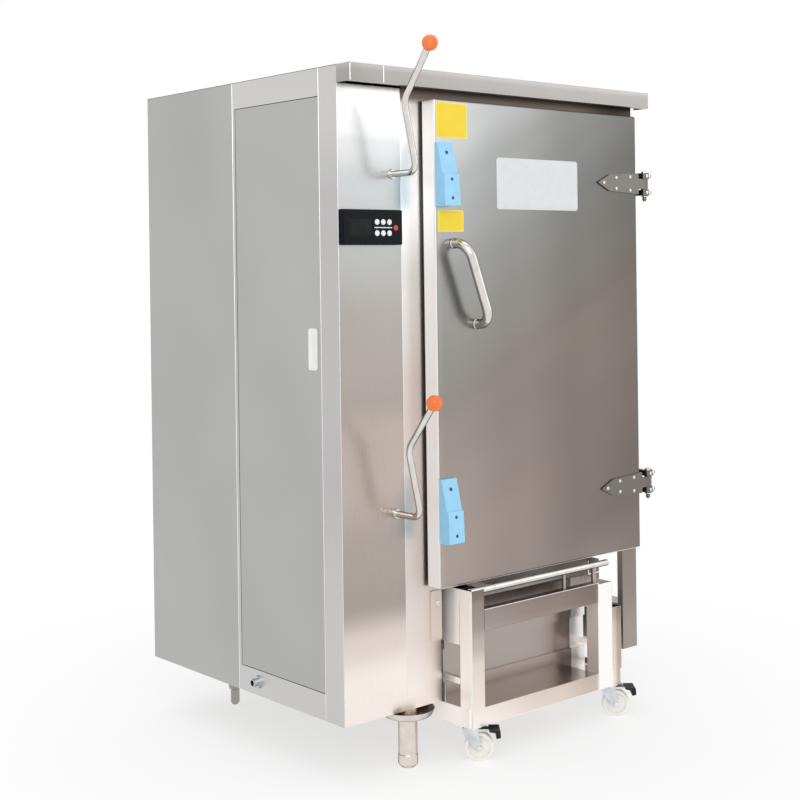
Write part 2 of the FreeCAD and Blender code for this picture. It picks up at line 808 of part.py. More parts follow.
def tray_rack():
    """The rack in the chamber: four uprights, ten pairs of angle runners and cross bars, and a tray."""
    rack = new_body()
    left, right, tube = S.rack_left, RACK_RIGHT, S.rack_tube
    front, rear = S.rack_front, S.rack_rear
    floor = S.chamber_floor + 0.1
    feet = []
    for low_x in (left, right - tube):
        for low_y in (front, rear - tube):
            feet.append(box_corners(low_x, low_y, low_x + tube, low_y + tube))
    pad(rack, "XY", feet, floor, S.rack_top)
    for low_y, levels in ((rear - tube, (0.02, 0.46, 0.98)), (front, (0.02, 0.98))):
        for share in levels:
            level = floor + (S.rack_top - floor - 20) * share
            bar = box_corners(left + tube, low_y + 3, right - tube, low_y + tube - 3)
            pad(rack, "XY", [bar], level, level + 20)
    DOCUMENT.recompute()
    web_left, web_right = left + tube, right - tube
    first = S.runner_first
    angles = [
        [
            (web_left, first),
            (web_left + RUNNER_FLANGE, first),
            (web_left + RUNNER_FLANGE, first + RUNNER_WEB),
            (web_left + RUNNER_WEB, first + RUNNER_WEB),
            (web_left + RUNNER_WEB, first + 22),
            (web_left, first + 22),
        ],
        [
            (web_right, first),
            (web_right, first + 22),
            (web_right - RUNNER_WEB, first + 22),
            (web_right - RUNNER_WEB, first + RUNNER_WEB),
            (web_right - RUNNER_FLANGE, first + RUNNER_WEB),
            (web_right - RUNNER_FLANGE, first),
        ],
    ]
    runners = pad(rack, "XZ", angles, front, rear)
    DOCUMENT.recompute()
    pattern = rack.newObject("PartDesign::LinearPattern", "RunnerLevels")
    pattern.Originals = [runners]
    upward = next(f for f in rack.Origin.OriginFeatures if f.Role == "Z_Axis")
    pattern.Direction = (upward, [""])
    bind(pattern, "Length", S.runner_pitch * (RUNNER_COUNT - 1))
    pattern.Occurrences = RUNNER_COUNT
    rack.Tip = pattern
    node("tray_rack", rack)
    rim = first + RUNNER_WEB + 0.1
    tray = new_body()
    rim_left, rim_right = web_left + RUNNER_WEB + 1, web_right - RUNNER_WEB - 1
    pan_left, pan_right = web_left + RUNNER_FLANGE + 3, web_right - RUNNER_FLANGE - 3
    tray_front, tray_rear = front + 10, rear - tube - 10
    pad(tray, "XY", [box_corners(rim_left, tray_front, rim_right, tray_rear, 12)], rim, rim + T)
    pan = box_corners(pan_left, tray_front + 18, pan_right, tray_rear - 18, 22)
    pad(tray, "XY", [pan], rim - S.tray_depth, rim)
    inside = box_corners(pan_left + T, tray_front + 18 + T, pan_right - T, tray_rear - 18 - T, 20.5)
    pocket(tray, "XY", [inside], rim - S.tray_depth + T, rim + T)
    node("tray", tray)


def legs():
    """Four round legs; the front left one stands in a dished flange."""
    tall = S.leg_height
    dished = [
        (0, -tall),
        (18, -tall),
        (27, -tall + 9, 6),
        (27, -tall + 34),
        (25.5, -tall + 36),
        (25.5, -22),
        (64, -22, 14),
        (74, -2),
        (72, -2),
        (63, -20, 12),
        (26, -20),
        (26, 0),
        (0, 0),
    ]
    node("leg_front_left", turned(dished, (as_size(237), as_size(27), as_size(0))))
    plain = [
        (0, -tall),
        (9, -tall),
        (13.5, -tall + 8, 5),
        (13.5, -tall + 46),
        (19, -tall + 50),
        (19, -4),
        (40, -4),
        (40, 0),
        (0, 0),
    ]
    places = {
        "leg_front_right": (S.bay_right + 32, as_size(90)),
        "leg_rear_left": (as_size(205), as_size(800)),
        "leg_rear_right": (S.bay_right + 32, as_size(840)),
    }
    for name, (across, back) in places.items():
        node(name, turned(plain, (across, back, as_size(0))))


def control_panel():
    """The raised control box, its dark front glass, six white buttons and a red one."""
    left, low, rise = S.panel_left, S.panel_bottom, S.panel_rise
    right, high = left + S.panel_width, low + S.panel_height
    housing = new_body()
    pad(housing, "XZ", [box_corners(left, low, right, high, 4)], -rise, -0.1)
    pad(housing, "XZ", [box_corners(left + 24, low + 22, right - 24, high - 22)], -0.1, 60)
    pocket(housing, "XZ", [box_corners(left + 3, low + 3, right - 3, high - 3, 2)], -rise, -3)
    pocket(housing, "XZ", [box_corners(left + 26, low + 24, right - 26, high - 24)], -3, 58)
    node("control_housing", housing)
    spots = {}
    for row, level in (("low", S.button_low_z), ("high", S.button_high_z)):
        for column in range(3):
            spots[f"button_{row}_{column + 1}"] = (S.button_first_x + S.button_pitch * column, level)
    spots["button_red"] = (S.red_button_x, S.red_button_z)
    glass = new_body()
    holes = [(across, level, S.button_radius + 0.4) for across, level in spots.values()]
    pane = box_corners(left + 1, low + 1, right - 1, high - 1, 3)
    pad(glass, "XZ", [pane], -rise - 3, -rise, circles=holes)
    node("control_glass", glass)
    face = -rise - 3 - S.button_travel - 0.6
    for name, (across, level) in spots.items():
        radius = S.button_radius
        cap = [
            (0, 0),
            (radius, 0, 0.8),
            (radius, -face - 11),
            (radius + 1.5, -face - 11),
            (radius + 1.5, -face - 9),
            (0, -face - 9),
        ]
        node(name, turned(cap, (across, face, level), ABOUT_Y))


def lever_bushes():
    """The two plain bushes in the column's front that the levers turn in."""
    bush_length = as_size(22)
    bore = S.lever_radius + S.hinge_clearance
    outline = [
        (bore, -5),
        (S.bush_radius, -5, 1.5),
        (S.bush_radius, -0.1),
        (S.bush_radius - 2.2, -0.1),
        (S.bush_radius - 2.2, bush_length),
        (bore, bush_length),
    ]
    levels = (S.upper_lever_z, S.lower_lever_z)
    pair = DOCUMENT.addObject("Part::Compound", "Bushes")
    pair.Links = [turned(outline, (S.lever_x, as_size(0), level), ABOUT_Y) for level in levels]
    node("lever_bushes", pair)


def lever_set(name, level):
    """One cam lever: the bent rod and the ball knob on its end."""
    place = (S.lever_x, as_size(0), level)
    tilt = FreeCAD.Rotation(FreeCAD.Vector(0, 1, 0), -DRIVING["lever_rest_tilt"])
    rise, out = S.lever_knob_height, S.lever_knob_out
    path = [
        (26, 0),
        (-S.lever_standoff, 0, 30),
        (-S.lever_standoff, S.lever_arm, 55),
        (-out + 8, rise - 8),
    ]
    handle = bent_rod(path, S.lever_radius, place, tilt)
    collar = rod(S.bush_radius, 6, (S.lever_x, as_size(23), level), ABOUT_Y)
    node(f"lever_rod_{name}", joined(handle, collar))
    ball = DOCUMENT.addObject("Part::Sphere", "Ball")
    bind(ball, "Radius", S.knob_radius)
    knob_x = S.lever_x - sine(S.lever_rest_tilt) * rise
    knob_z = level + cosine(S.lever_rest_tilt) * rise
    seat(ball, (knob_x, -out, knob_z), tilt)
    node(f"lever_knob_{name}", cut(ball, rod_socket(place, tilt)))


def rod_socket(place, tilt):
    """The blind hole in a ball knob, a hair wider than the rod's end."""
    rise, out = S.lever_knob_height, S.lever_knob_out
    path = [(-out + 48, rise - 48), (-out + 7.9, rise - 7.9)]
    body = new_body(place, tilt)
    route = new_sketch(body, "YZ", 0)
    draw(route, path, closed=False)
    section = body.newObject("Sketcher::SketchObject", "Section")
    section.AttachmentSupport = [(route, "Edge1")]
    section.MapMode = "NormalToEdge"
    DOCUMENT.recompute()
    draw_circle(section, 0, 0, S.lever_radius + 0.1)
    bore = body.newObject("PartDesign::AdditivePipe", "Bore")
    bore.Profile = section
    bore.Spine = (route, ["Edge1"])
    return body


def hinge_set(name, level):
    """One strap hinge: the base with its two arms, the pin and the pointed strap on the door."""
    axis_x, out, round_end = S.hinge_x, S.hinge_out, S.knuckle_radius
    plate_front = -6.1
    left, right = axis_x - round_end, axis_x + round_end
    base = new_body((as_size(0), as_size(0), level))
    plate = box_corners(left, -S.hinge_plate_half, right, S.hinge_plate_half, 4)
    pad(base, "XZ", [plate], plate_front, -0.1)
    arm = [
        (left, plate_front),
        (left, -out - round_end, round_end - 0.2),
        (right, -out - round_end, round_end - 0.2),
        (right, plate_front),
    ]
    arm_gap = S.barrel_half + 0.5
    pad(base, "XY", [arm], -S.hinge_arm_top, -arm_gap)
    pad(base, "XY", [arm], arm_gap, S.hinge_arm_top)
    DOCUMENT.recompute()
    bolts = [rod(6, 26, (axis_x, -out, level + lift), ABOUT_X) for lift in (-25, 25)]
    pin_radius = S.hinge_pin_radius
    pin = turned(
        [
            (0, -52),
            (4, -52, 2),
            (7, -46, 3),
            (6, -40),
            (4, -38),
            (pin_radius, -34),
            (pin_radius, S.hinge_arm_top),
            (8, S.hinge_arm_top),
            (8, S.hinge_arm_top + 5, 2),
            (0, S.hinge_arm_top + 7),
        ],
        (axis_x, -out, level),
    )
    node(f"hinge_base_{name}", joined(base, pin, *bolts))
    front = S.door_front + 0.1
    strap = new_body((as_size(0), as_size(0), level))
    neck = S.barrel_half - 1.5
    wide_x = S.strap_tip + 54
    outline = [
        (S.strap_tip, 0, 3),
        (wide_x, -24.5, 12),
        (DOOR_RIGHT - 2, -31),
        (DOOR_RIGHT + 4, -31),
        (DOOR_RIGHT + 6, -neck),
        (axis_x, -neck),
        (axis_x, neck),
        (DOOR_RIGHT + 6, neck),
        (DOOR_RIGHT + 4, 31),
        (DOOR_RIGHT - 2, 31),
        (wide_x, 24.5, 12),
    ]
    pad(strap, "XZ", [outline], -front - S.strap_thickness, -front)
    barrel = rod(round_end, S.barrel_half * 2, (axis_x, -out, level - S.barrel_half))
    pin_hole = rod(pin_radius + S.hinge_clearance, 40, (axis_x, -out, level - 20))
    node(f"hinge_strap_{name}", cut(joined(strap, barrel), pin_hole))


def opening_ring(margin, radius):
    """The outline of the chamber's mouth, widened by a margin on every side."""
    left, right = S.opening_left - margin, S.opening_right + margin
    bottom, top = S.opening_bottom - margin, S.opening_top + margin
    return box_corners(left, bottom, right, top, radius)


def door():
    """The insulated door: outer pan, foam core, inner pan with its plug, gasket and pull handle."""
    left, low, front, back = S.door_left, S.door_bottom, S.door_front, S.door_back
    skin = new_body()
    pad(skin, "XZ", [box_corners(left, low, DOOR_RIGHT, DOOR_TOP, 5)], -front, -back)
    fillet(skin, lambda middle, along: abs(middle.y + DRIVING["door_front"]) < 0.1, S.door_rounding)
    hollow = box_corners(left + T, low + T, DOOR_RIGHT - T, DOOR_TOP - T, 3.5)
    pocket(skin, "XZ", [hollow], -front + T * 3, -back)
    shrink = S.door_rounding
    face_hollow = box_corners(left + shrink, low + shrink, DOOR_RIGHT - shrink, DOOR_TOP - shrink, 3)
    pocket(skin, "XZ", [face_hollow], -front + T, -front + T * 3)
    node("door_skin", skin)
    inset = shrink + 1
    core_x = (left + inset, DOOR_RIGHT - inset)
    core_z = (low + inset, DOOR_TOP - inset)
    core = block(core_x, (-front + T + 0.2, -back - 0.3), core_z)
    node("door_core", core)
    liner = new_body()
    plate_back = -back + T + 0.1
    pad(liner, "XZ", [box_corners(left, low, DOOR_RIGHT, DOOR_TOP, 5)], -back + 0.1, plate_back)
    plug = opening_ring(-S.plug_margin, 14)
    pad(liner, "XZ", [plug], plate_back, 6)
    fillet(liner, lambda middle, along: abs(middle.y - 6) < 0.1, 5)
    node("door_liner", liner)
    gasket = new_body()
    gap = as_size(4)
    rims = [opening_ring(gap + S.gasket_width, 30), opening_ring(gap, 14)]
    pad(gasket, "XZ", rims, plate_back + 0.1, -0.5)
    fillet(gasket, lambda middle, along: abs(middle.y + 0.5) < 0.1, 3)
    node("door_gasket", gasket)
    half = S.handle_length / 2
    arch = [
        (0, -half),
        (-S.handle_standoff, -half, S.handle_bend),
        (-S.handle_standoff, half, S.handle_bend),
        (0, half),
    ]
    tilt = FreeCAD.Rotation(FreeCAD.Vector(0, 1, 0), -DRIVING["handle_tilt"])
    pull = bent_rod(arch, S.handle_radius, (S.handle_x, -front - 0.1, S.handle_z), tilt)
    node("door_handle", pull)


def wedge(name, level):
    """A nylon cam block: the lever's arm rides down its slope and stops above the step."""
    half = S.wedge_half_height
    face = -S.door_front - 0.1
    body = new_body((S.door_left, face, level))
    profile = [
        (0, -half),
        (0, half),
        (-S.wedge_top_rise, half, 3),
        (-S.wedge_ramp_rise, 4, 2),
        (-S.wedge_step_rise, 0, 2),
        (-S.wedge_bottom_rise, -half, 4),
    ]
    pad(body, "YZ", [profile], 0, S.wedge_width)
    node(f"wedge_{name}", body)


AXLE_DROP = S.leg_height - S.wheel_radius
PLATE_BOTTOM = S.beam_bottom - 3
CASTER_INSET = as_size(26)


def base_ring():
    """The trolley's base: a ring of open channel with a thin shelf across it."""
    left, right, front, rear = S.trolley_left, S.trolley_right, S.trolley_front, S.trolley_rear
    wide, wall = S.beam_width, S.tube_wall
    ring = new_body()
    outer = box_corners(left, front, right, rear, 14)
    inner = box_corners(left + wide, front + wide, right - wide, rear - wide)
    pad(ring, "XY", [outer, inner], S.beam_bottom, S.beam_top)
    hollow = [
        box_corners(left + wall, front + wall, right - wall, rear - wall, 12),
        box_corners(left + wide - wall, front + wide - wall, right - wide + wall, rear - wide + wall),
    ]
    pocket(ring, "XY", hollow, S.beam_bottom, S.beam_top - wall)
    shelf = new_body()
    sheet = box_corners(left + wide - 1, front + wide - 1, right - wide + 1, rear - wide + 1)
    pad(shelf, "XY", [sheet], S.beam_top - 4, S.beam_top - 2)
    return [ring, shelf]


def post(low_x, low_y, width, height):
    """A hollow post standing on the base ring."""
    wall = S.tube_wall
    high_x, high_y = low_x + width, low_y + S.beam_width
    shell = [
        box_corners(low_x, low_y, high_x, high_y, 5),
        box_corners(low_x + wall, low_y + wall, high_x - wall, high_y - wall, 3),
    ]
    body = new_body()
    pad(body, "XY", shell, S.beam_top - wall, height)
    return body


def rack_rail(low_x):
    """One of the two channels that the rack's feet roll on."""
    low, top, wall = S.rail_bottom, S.rail_top, as_size(3)
    high_x = low_x + S.beam_width
    channel = [
        (low_x, low),
        (high_x, low),
        (high_x, top),
        (high_x - wall, top),
        (high_x - wall, low + wall),
        (low_x + wall, low + wall),
        (low_x + wall, top),
        (low_x, top),
    ]
    body = new_body()
    pad(body, "XZ", [channel], S.trolley_front + S.beam_width - S.tube_wall, S.trolley_rear)
    return body


def cross_tube(low_y, low_z, high_z, start, stop):
    """A flat hollow tube between two posts."""
    wall = S.tube_wall
    high_y = low_y + 30
    shell = [
        box_corners(low_y, low_z, high_y, high_z, 3),
        box_corners(low_y + wall, low_z + wall, high_y - wall, high_z - wall, 1.5),
    ]
    body = new_body()
    pad(body, "YZ", shell, start, stop)
    return body


def splash_panel(start, stop):
    """The stepped sheet across the trolley behind its front opening."""
    step, wall = as_size(6), S.tube_wall
    back = S.splash_panel_y
    proud = back - step
    low_step, high_step = as_size(42), as_size(131)
    top = S.front_tube_top - 4
    profile = [
        (proud, S.beam_top - 3),
        (proud, low_step),
        (back, low_step),
        (back, high_step),
        (proud, high_step),
        (proud, top),
        (proud + 18, top),
        (proud + 18, top - wall),
        (proud + wall, top - wall),
        (proud + wall, high_step + wall),
        (back + wall, high_step + wall),
        (back + wall, low_step - wall),
        (proud + wall, low_step - wall),
        (proud + wall, S.beam_top - 3),
    ]
    body = new_body()
    pad(body, "YZ", [profile], start, stop)
    return body


def fork_cheek(middle, axle, top):
    """A tapered fork cheek: wide under the beam and narrow round the axle."""
    low, shoulder = -AXLE_DROP - 9, S.beam_bottom - 22
    return [
        (middle - 21, top),
        (middle - 21, shoulder, 10),
        (axle - 9, low, 8),
        (axle + 9, low, 8),
        (middle + 21, shoulder, 10),
        (middle + 21, top),
    ]


def top_plate(centre_x, front, rear):
    """The plate that closes the base ring over a caster."""
    return block((centre_x - 26, centre_x + 26), (front, rear), (PLATE_BOTTOM, S.beam_bottom))


def fixed_fork(centre_x):
    """A rear caster's rigid fork and axle, welded under the base ring."""
    gap, wall, centre_y = S.fork_gap, as_size(2.5), S.rear_caster_y
    pieces = [top_plate(centre_x, centre_y - 42, centre_y + 42)]
    outline = fork_cheek(centre_y, centre_y, S.beam_bottom - 2)
    for inner_face in (centre_x - gap - wall, centre_x + gap):
        cheek = new_body()
        pad(cheek, "YZ", [outline], inner_face, inner_face + wall)
        pieces.append(cheek)
    axle_half = gap + wall + 3
    pieces.append(rod(S.axle_radius, axle_half * 2, (centre_x - axle_half, centre_y, -AXLE_DROP), ABOUT_X))
    return pieces


def trolley_frame():
    """The welded trolley: base ring, posts, side skirts, rack rails, splash panel and front bar."""
    left, right, tube, wall = S.trolley_left + 2, S.trolley_right, S.beam_width, S.tube_wall
    front, rear = S.trolley_front, S.trolley_rear
    upright, wide_post = S.upright_right, S.right_post_width
    pieces = base_ring()
    pieces.append(post(left, front, tube, S.rail_top))
    pieces.append(post(left, rear - tube, tube, S.rail_bottom + 1))
    pieces.append(post(upright - wide_post, front, wide_post, S.front_tube_top - 5))
    pieces.append(post(upright - tube, rear - tube, tube, S.rail_bottom + 1))
    pieces.append(post(upright, front, right - upright, 170))
    pieces.append(rack_rail(left))
    pieces.append(rack_rail(upright - tube))
    start, stop = left + tube - wall, upright - tube + wall
    tube_low, tube_high = S.front_tube_bottom, S.front_tube_top
    pieces.append(cross_tube(front, tube_low, tube_high, start, upright - wide_post + wall))
    pieces.append(cross_tube(rear - 30, tube_low, tube_high, start, stop))
    pieces.append(cross_tube(rear - 30, 90, 130, start, stop))
    skirt_span = (front + tube - 1, rear - tube + 1)
    for skirt_x in (left, upright - wall):
        pieces.append(block((skirt_x, skirt_x + wall), skirt_span, (156, S.rail_bottom + 1)))
    for flat_x in (left, upright - 16):
        pieces.append(block((flat_x, flat_x + 16), skirt_span, (50, 66)))
    pieces.append(splash_panel(left + 1, upright - 1))
    bar_y, bar_z, stand_low = S.front_bar_y, S.front_bar_z, S.front_tube_top - 6
    pieces.append(rod(9, 555, (left + 8, bar_y, bar_z), ABOUT_X))
    pieces.append(rod(7, bar_z - stand_low, (as_size(868), bar_y, stand_low)))
    pieces.append(rod(5, bar_z - stand_low, (as_size(742), bar_y, stand_low)))
    bores = []
    for centre_x in (S.trolley_left + CASTER_INSET, right - CASTER_INSET):
        pieces.append(top_plate(centre_x, front, front + 80))
        pieces.extend(fixed_fork(centre_x))
        bore_radius = S.king_pin_radius + S.hinge_clearance
        bores.append(rod(bore_radius, 6, (centre_x, S.front_caster_y, PLATE_BOTTOM - 1)))
    node("trolley_frame", cut(joined(*pieces), *bores))


def wheel(name, centre_x, centre_y, turn):
    """A nylon wheel: tread with rounded shoulders, thin web and hub, bored for its axle."""
    half, radius, bore = S.wheel_width / 2, S.wheel_radius, S.axle_radius + S.hinge_clearance
    hub = half + 1
    rim = radius - 8.5
    profile = [
        (bore, -hub),
        (11, -hub),
        (11, -4),
        (rim - 2, -4, 3),
        (rim, -half),
        (radius, -half, 4),
        (radius, half, 4),
        (rim, half),
        (rim - 2, 4, 3),
        (11, 4),
        (11, hub),
        (bore, hub),
    ]
    around = FreeCAD.Rotation(FreeCAD.Vector(0, 0, 1), turn).multiply(ABOUT_Y)
    node(name, turned(profile, (centre_x, centre_y, -AXLE_DROP), around))


PEDAL_PIVOT_ALONG = as_size(15)
PEDAL_PIVOT_Z = S.beam_bottom - 14.5
PEDAL_PIVOT_RADIUS = as_size(2)


def swivel_fork(name, origin, turn):
    """A front caster's fork with its king pin and nut, race, axle and pedal pivot."""
    centre_x, centre_y = origin[0], origin[1]
    gap, wall = S.fork_gap, as_size(2.5)
    top = PLATE_BOTTOM - 0.3
    across_x, across_y = sine(S.caster_turn), cosine(S.caster_turn)
    fork = new_body(origin, turn)
    pad(fork, "XY", [box_corners(-20, -gap - wall, 22, gap + wall, 3)], top - 5, top - 2)
    for low in (-gap - wall, gap):
        pad(fork, "XZ", [fork_cheek(1, S.caster_trail, top - 3)], low, low + wall)
    DOCUMENT.recompute()
    pin = turned(
        [
            (0, -5),
            (19, -5),
            (19, 0),
            (S.king_pin_radius, 0),
            (S.king_pin_radius, 3.7),
            (9, 3.7),
            (9, 8),
            (0, 8),
        ],
        (centre_x, centre_y, top),
    )
    along_axle = turn.multiply(ABOUT_Y)
    axle_half = gap + 6
    axle_x = centre_x + across_y * S.caster_trail + across_x * axle_half
    axle_y = centre_y + across_x * S.caster_trail - across_y * axle_half
    axle = rod(S.axle_radius, axle_half * 2, (axle_x, axle_y, -AXLE_DROP), along_axle)
    pivot_x = centre_x + across_y * PEDAL_PIVOT_ALONG + across_x * gap
    pivot_y = centre_y + across_x * PEDAL_PIVOT_ALONG - across_y * gap
    pivot = rod(PEDAL_PIVOT_RADIUS, gap * 2, (pivot_x, pivot_y, PEDAL_PIVOT_Z), along_axle)
    node(name, joined(fork, pin, axle, pivot))
    hole_radius = PEDAL_PIVOT_RADIUS + S.hinge_clearance
    return rod(hole_radius, gap * 2, (pivot_x, pivot_y, PEDAL_PIVOT_Z), along_axle)


def brake(side, origin, turn, pivot_hole):
    """A wheel brake: the arm between the fork's cheeks and the wide toe pedal on its end."""
    spot, base = PEDAL_PIVOT_ALONG, S.beam_bottom
    arm = new_body(origin, turn)
    outline = [
        (spot - 3.5, base - 18, 3),
        (spot + 30, base - 17.5),
        (spot + 35.9, base - 15),
        (spot + 35.9, base - 11),
        (spot - 3.5, base - 11, 3),
    ]
    narrow = S.fork_gap - 1
    pad(arm, "XZ", [outline], -narrow, narrow)
    DOCUMENT.recompute()
    node(f"brake_arm_{side}", cut(arm, pivot_hole))
    pedal = new_body(origin, turn)
    toe = [
        (spot + 54, base - 34, 3),
        (spot + 67, base - 31, 3),
        (spot + 66, base - 11, 4),
        (spot + 36, base - 11),
        (spot + 36, base - 15),
        (spot + 54, base - 18),
    ]
    pad(pedal, "XZ", [toe], -27, 27)
    node(f"brake_pedal_{side}", pedal)


def casters():
    """Two braked swivel casters in front and the wheels of the two rigid ones behind."""
    turn = DRIVING["caster_turn"]
    trail_x = cosine(S.caster_turn) * S.caster_trail
    trail_y = sine(S.caster_turn) * S.caster_trail
    sides = {"left": S.trolley_left + CASTER_INSET, "right": S.trolley_right - CASTER_INSET}
    for side, centre_x in sides.items():
        origin = (centre_x, S.front_caster_y, as_size(0))
        turned_round = FreeCAD.Rotation(FreeCAD.Vector(0, 0, 1), turn)
        pivot_hole = swivel_fork(f"caster_fork_{side}", origin, turned_round)
        brake(side, origin, turned_round, pivot_hole)
        wheel(f"wheel_front_{side}", centre_x + trail_x, S.front_caster_y + trail_y, turn)
        wheel(f"wheel_rear_{side}", centre_x, S.rear_caster_y, 90)


def check_document():
    """Stop on any object that failed to build."""
    for thing in DOCUMENT.Objects:
        if {"Invalid", "Error"} & set(thing.State):
            raise RuntimeError(f"{thing.Name} ({thing.Label}) failed: {thing.State}")
    for thing in NODES:
        if thing.Shape.isNull() or not thing.Shape.isValid():
            raise RuntimeError(f"{thing.Label} has no valid shape")


def export():
    os.makedirs("parts", exist_ok=True)
    for thing in NODES:
        thing.Shape.exportStep(f"parts/{thing.Label}.step")
        solids = len(thing.Shape.Solids)
        print(f"{thing.Label}: {solids} solid, {thing.Shape.Volume / 1000:.1f} cm3")
    print(len(NODES), "sub-parts")


make_sheet()
left_side()
access_panel()
right_side()
rear_and_top()
front_sheets()
column_inside()
steam_source()
chamber()
tray_rack()
legs()
control_panel()
lever_bushes()
for lever_name, lever_level in (("upper", S.upper_lever_z), ("lower", S.lower_lever_z)):
    lever_set(lever_name, lever_level)
    wedge(lever_name, lever_level)
for hinge_name, hinge_level in (("upper", S.upper_hinge_z), ("lower", S.lower_hinge_z)):
    hinge_set(hinge_name, hinge_level)
door()
trolley_frame()
casters()
DOCUMENT.recompute()
check_document()
export()
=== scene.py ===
"""A stainless steam cabinet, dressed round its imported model.

Lengths in the functions are millimetres in the body's corner frame: x runs right from the body's
left face, y runs back from its front face and z runs up from the underside of the body.
"""

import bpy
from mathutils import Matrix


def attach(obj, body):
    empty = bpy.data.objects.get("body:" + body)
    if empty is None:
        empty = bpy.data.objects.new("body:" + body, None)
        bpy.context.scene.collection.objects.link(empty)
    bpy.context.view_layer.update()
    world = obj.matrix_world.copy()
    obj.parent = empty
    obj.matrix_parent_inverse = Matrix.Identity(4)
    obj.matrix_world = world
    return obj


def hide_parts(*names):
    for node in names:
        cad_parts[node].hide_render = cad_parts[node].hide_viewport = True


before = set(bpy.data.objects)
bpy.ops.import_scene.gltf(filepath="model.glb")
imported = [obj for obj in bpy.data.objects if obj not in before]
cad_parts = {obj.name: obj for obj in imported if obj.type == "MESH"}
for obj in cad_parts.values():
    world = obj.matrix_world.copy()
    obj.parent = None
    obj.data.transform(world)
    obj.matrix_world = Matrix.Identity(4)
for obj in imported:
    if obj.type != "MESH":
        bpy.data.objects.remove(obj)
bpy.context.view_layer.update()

import math

import bpy
import numpy as np
from mathutils import Matrix, Vector

bl_info = {
    "name": "Steam Cabinet",
    "version": (1, 0, 0),
    "blender": (4, 5, 0),
    "location": "3D View > Sidebar > Steam Cabinet",
    "description": "Finishes, fittings and studio for a stainless steam cabinet with a trolley",
    "category": "Object",
}

CORNER_TO_ROW = np.array([-577.5, -351.75, 160.0])
MM = 0.001
X_AXIS = (1, 0, 0)
Y_AXIS = (0, 1, 0)
Z_AXIS = (0, 0, 1)
FRONT = (0, -1, 0)
LEFT = (-1, 0, 0)
# the radius at which a spun profile meets its axis, and the least radius of anything, so that no
# two points fall together
TIP = 0.01
LEAST = 1e-3
DOOR_FACE = -57.0
# a piece that stands on the door's skin starts this far in front of it
DOOR_SEAT = DOOR_FACE - 0.1
# heights of the pairs of levers and hinges, and the casters' places across the trolley
LEVERS = {"upper": 1424.0, "lower": 527.0}
HINGES = {"upper": 1421.0, "lower": 514.0}
CASTERS = {"left": 386.0, "right": 947.0}
CASTER_TURN = math.radians(-40.8)
LEVER_TILT = math.radians(12.4)
HANDLE_TILT = math.radians(20.5)


# Surfaces


def row(points):
    """Corner-frame millimetres to the model's own metres: moved to its origin, then scaled."""
    return (np.asarray(points, float) + CORNER_TO_ROW) * MM


def axes_for(normal, turn=0.0):
    """Three unit axes: w along the normal, v the upright less its part along w, u square to both,
    with u and v then turned about w."""
    w = np.array(normal, float) / np.linalg.norm(normal)
    seed = np.array(Z_AXIS if abs(w[2]) < 0.9 else Y_AXIS, float)
    v = seed - w * (seed @ w)
    v /= np.linalg.norm(v)
    u = np.cross(v, w)
    cosine, sine = math.cos(turn), math.sin(turn)
    return np.array([u * cosine + v * sine, v * cosine - u * sine, w])


def placed(points, origin, normal, turn=0.0):
    """Local (u, v, w) points carried to an origin, with w along the normal."""
    return np.asarray(points, float) @ axes_for(normal, turn) + np.asarray(origin, float)


def cells(grid):
    """The four corners of each cell of a grid of point numbers."""
    quads = np.stack([grid[:-1, :-1], grid[:-1, 1:], grid[1:, 1:], grid[1:, :-1]], axis=-1)
    return quads.reshape(-1, 4).tolist()


def skin(rings, closed=False):
    """Quads between neighbouring rings of a rings x around grid, each ring closed on itself, with a
    flat face over each end unless the last ring leads back to the first."""
    along, around = rings.shape[:2]
    index = np.arange(along * around).reshape(along, around)
    rows = np.vstack([index, index[:1]]) if closed else index
    faces = cells(np.hstack([rows, rows[:, :1]]))
    if not closed:
        faces += [index[0][::-1].tolist(), index[-1].tolist()]
    return rings.reshape(-1, 3), faces


def piece(name, surfaces, finish, body, replaces=()):
    """One finished object from one or more (points, faces) surfaces, riding on a body; edges of
    more than 35 degrees stay sharp."""
    vertices, faces, start = [], [], 0
    for points, quads in surfaces:
        vertices.append(row(points))
        faces.extend([[start + corner for corner in face] for face in quads])
        start += len(points)
    mesh = bpy.data.meshes.new(name)
    mesh.from_pydata(np.vstack(vertices).tolist(), [], faces)
    mesh.validate()
    mesh.shade_smooth()
    mesh.set_sharp_from_angle(angle=math.radians(35))
    mesh.materials.append(FINISHES[finish])
    thing = bpy.data.objects.new(name, mesh)
    bpy.context.scene.collection.objects.link(thing)
    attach(thing, body)
    if replaces:
        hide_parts(*replaces)


def rounded_outline(width, height, radius, per_corner=7):
    """A rectangle centred on the origin whose corners are quarter circles."""
    radius = max(min(radius, width / 2 - LEAST, height / 2 - LEAST), LEAST)
    angle = np.linspace(0, math.pi / 2, per_corner)
    quarter = np.stack([np.cos(angle), np.sin(angle)], axis=1) * radius
    reach = np.array([width / 2 - radius, height / 2 - radius])
    parts = []
    for step in range(4):
        turn = step * math.pi / 2
        spin = np.array([[math.cos(turn), math.sin(turn)], [-math.sin(turn), math.cos(turn)]])
        sign = np.sign(np.array([1, 1]) @ spin)
        parts.append(quarter @ spin + reach * sign)
    return np.vstack(parts)


def arms(previous, corner, following):
    """Unit vectors from a corner to its neighbours, and half the angle between them."""
    before, after = previous - corner, following - corner
    before /= np.linalg.norm(before)
    after /= np.linalg.norm(after)
    return before, after, math.acos(np.clip(before @ after, -1, 1)) / 2


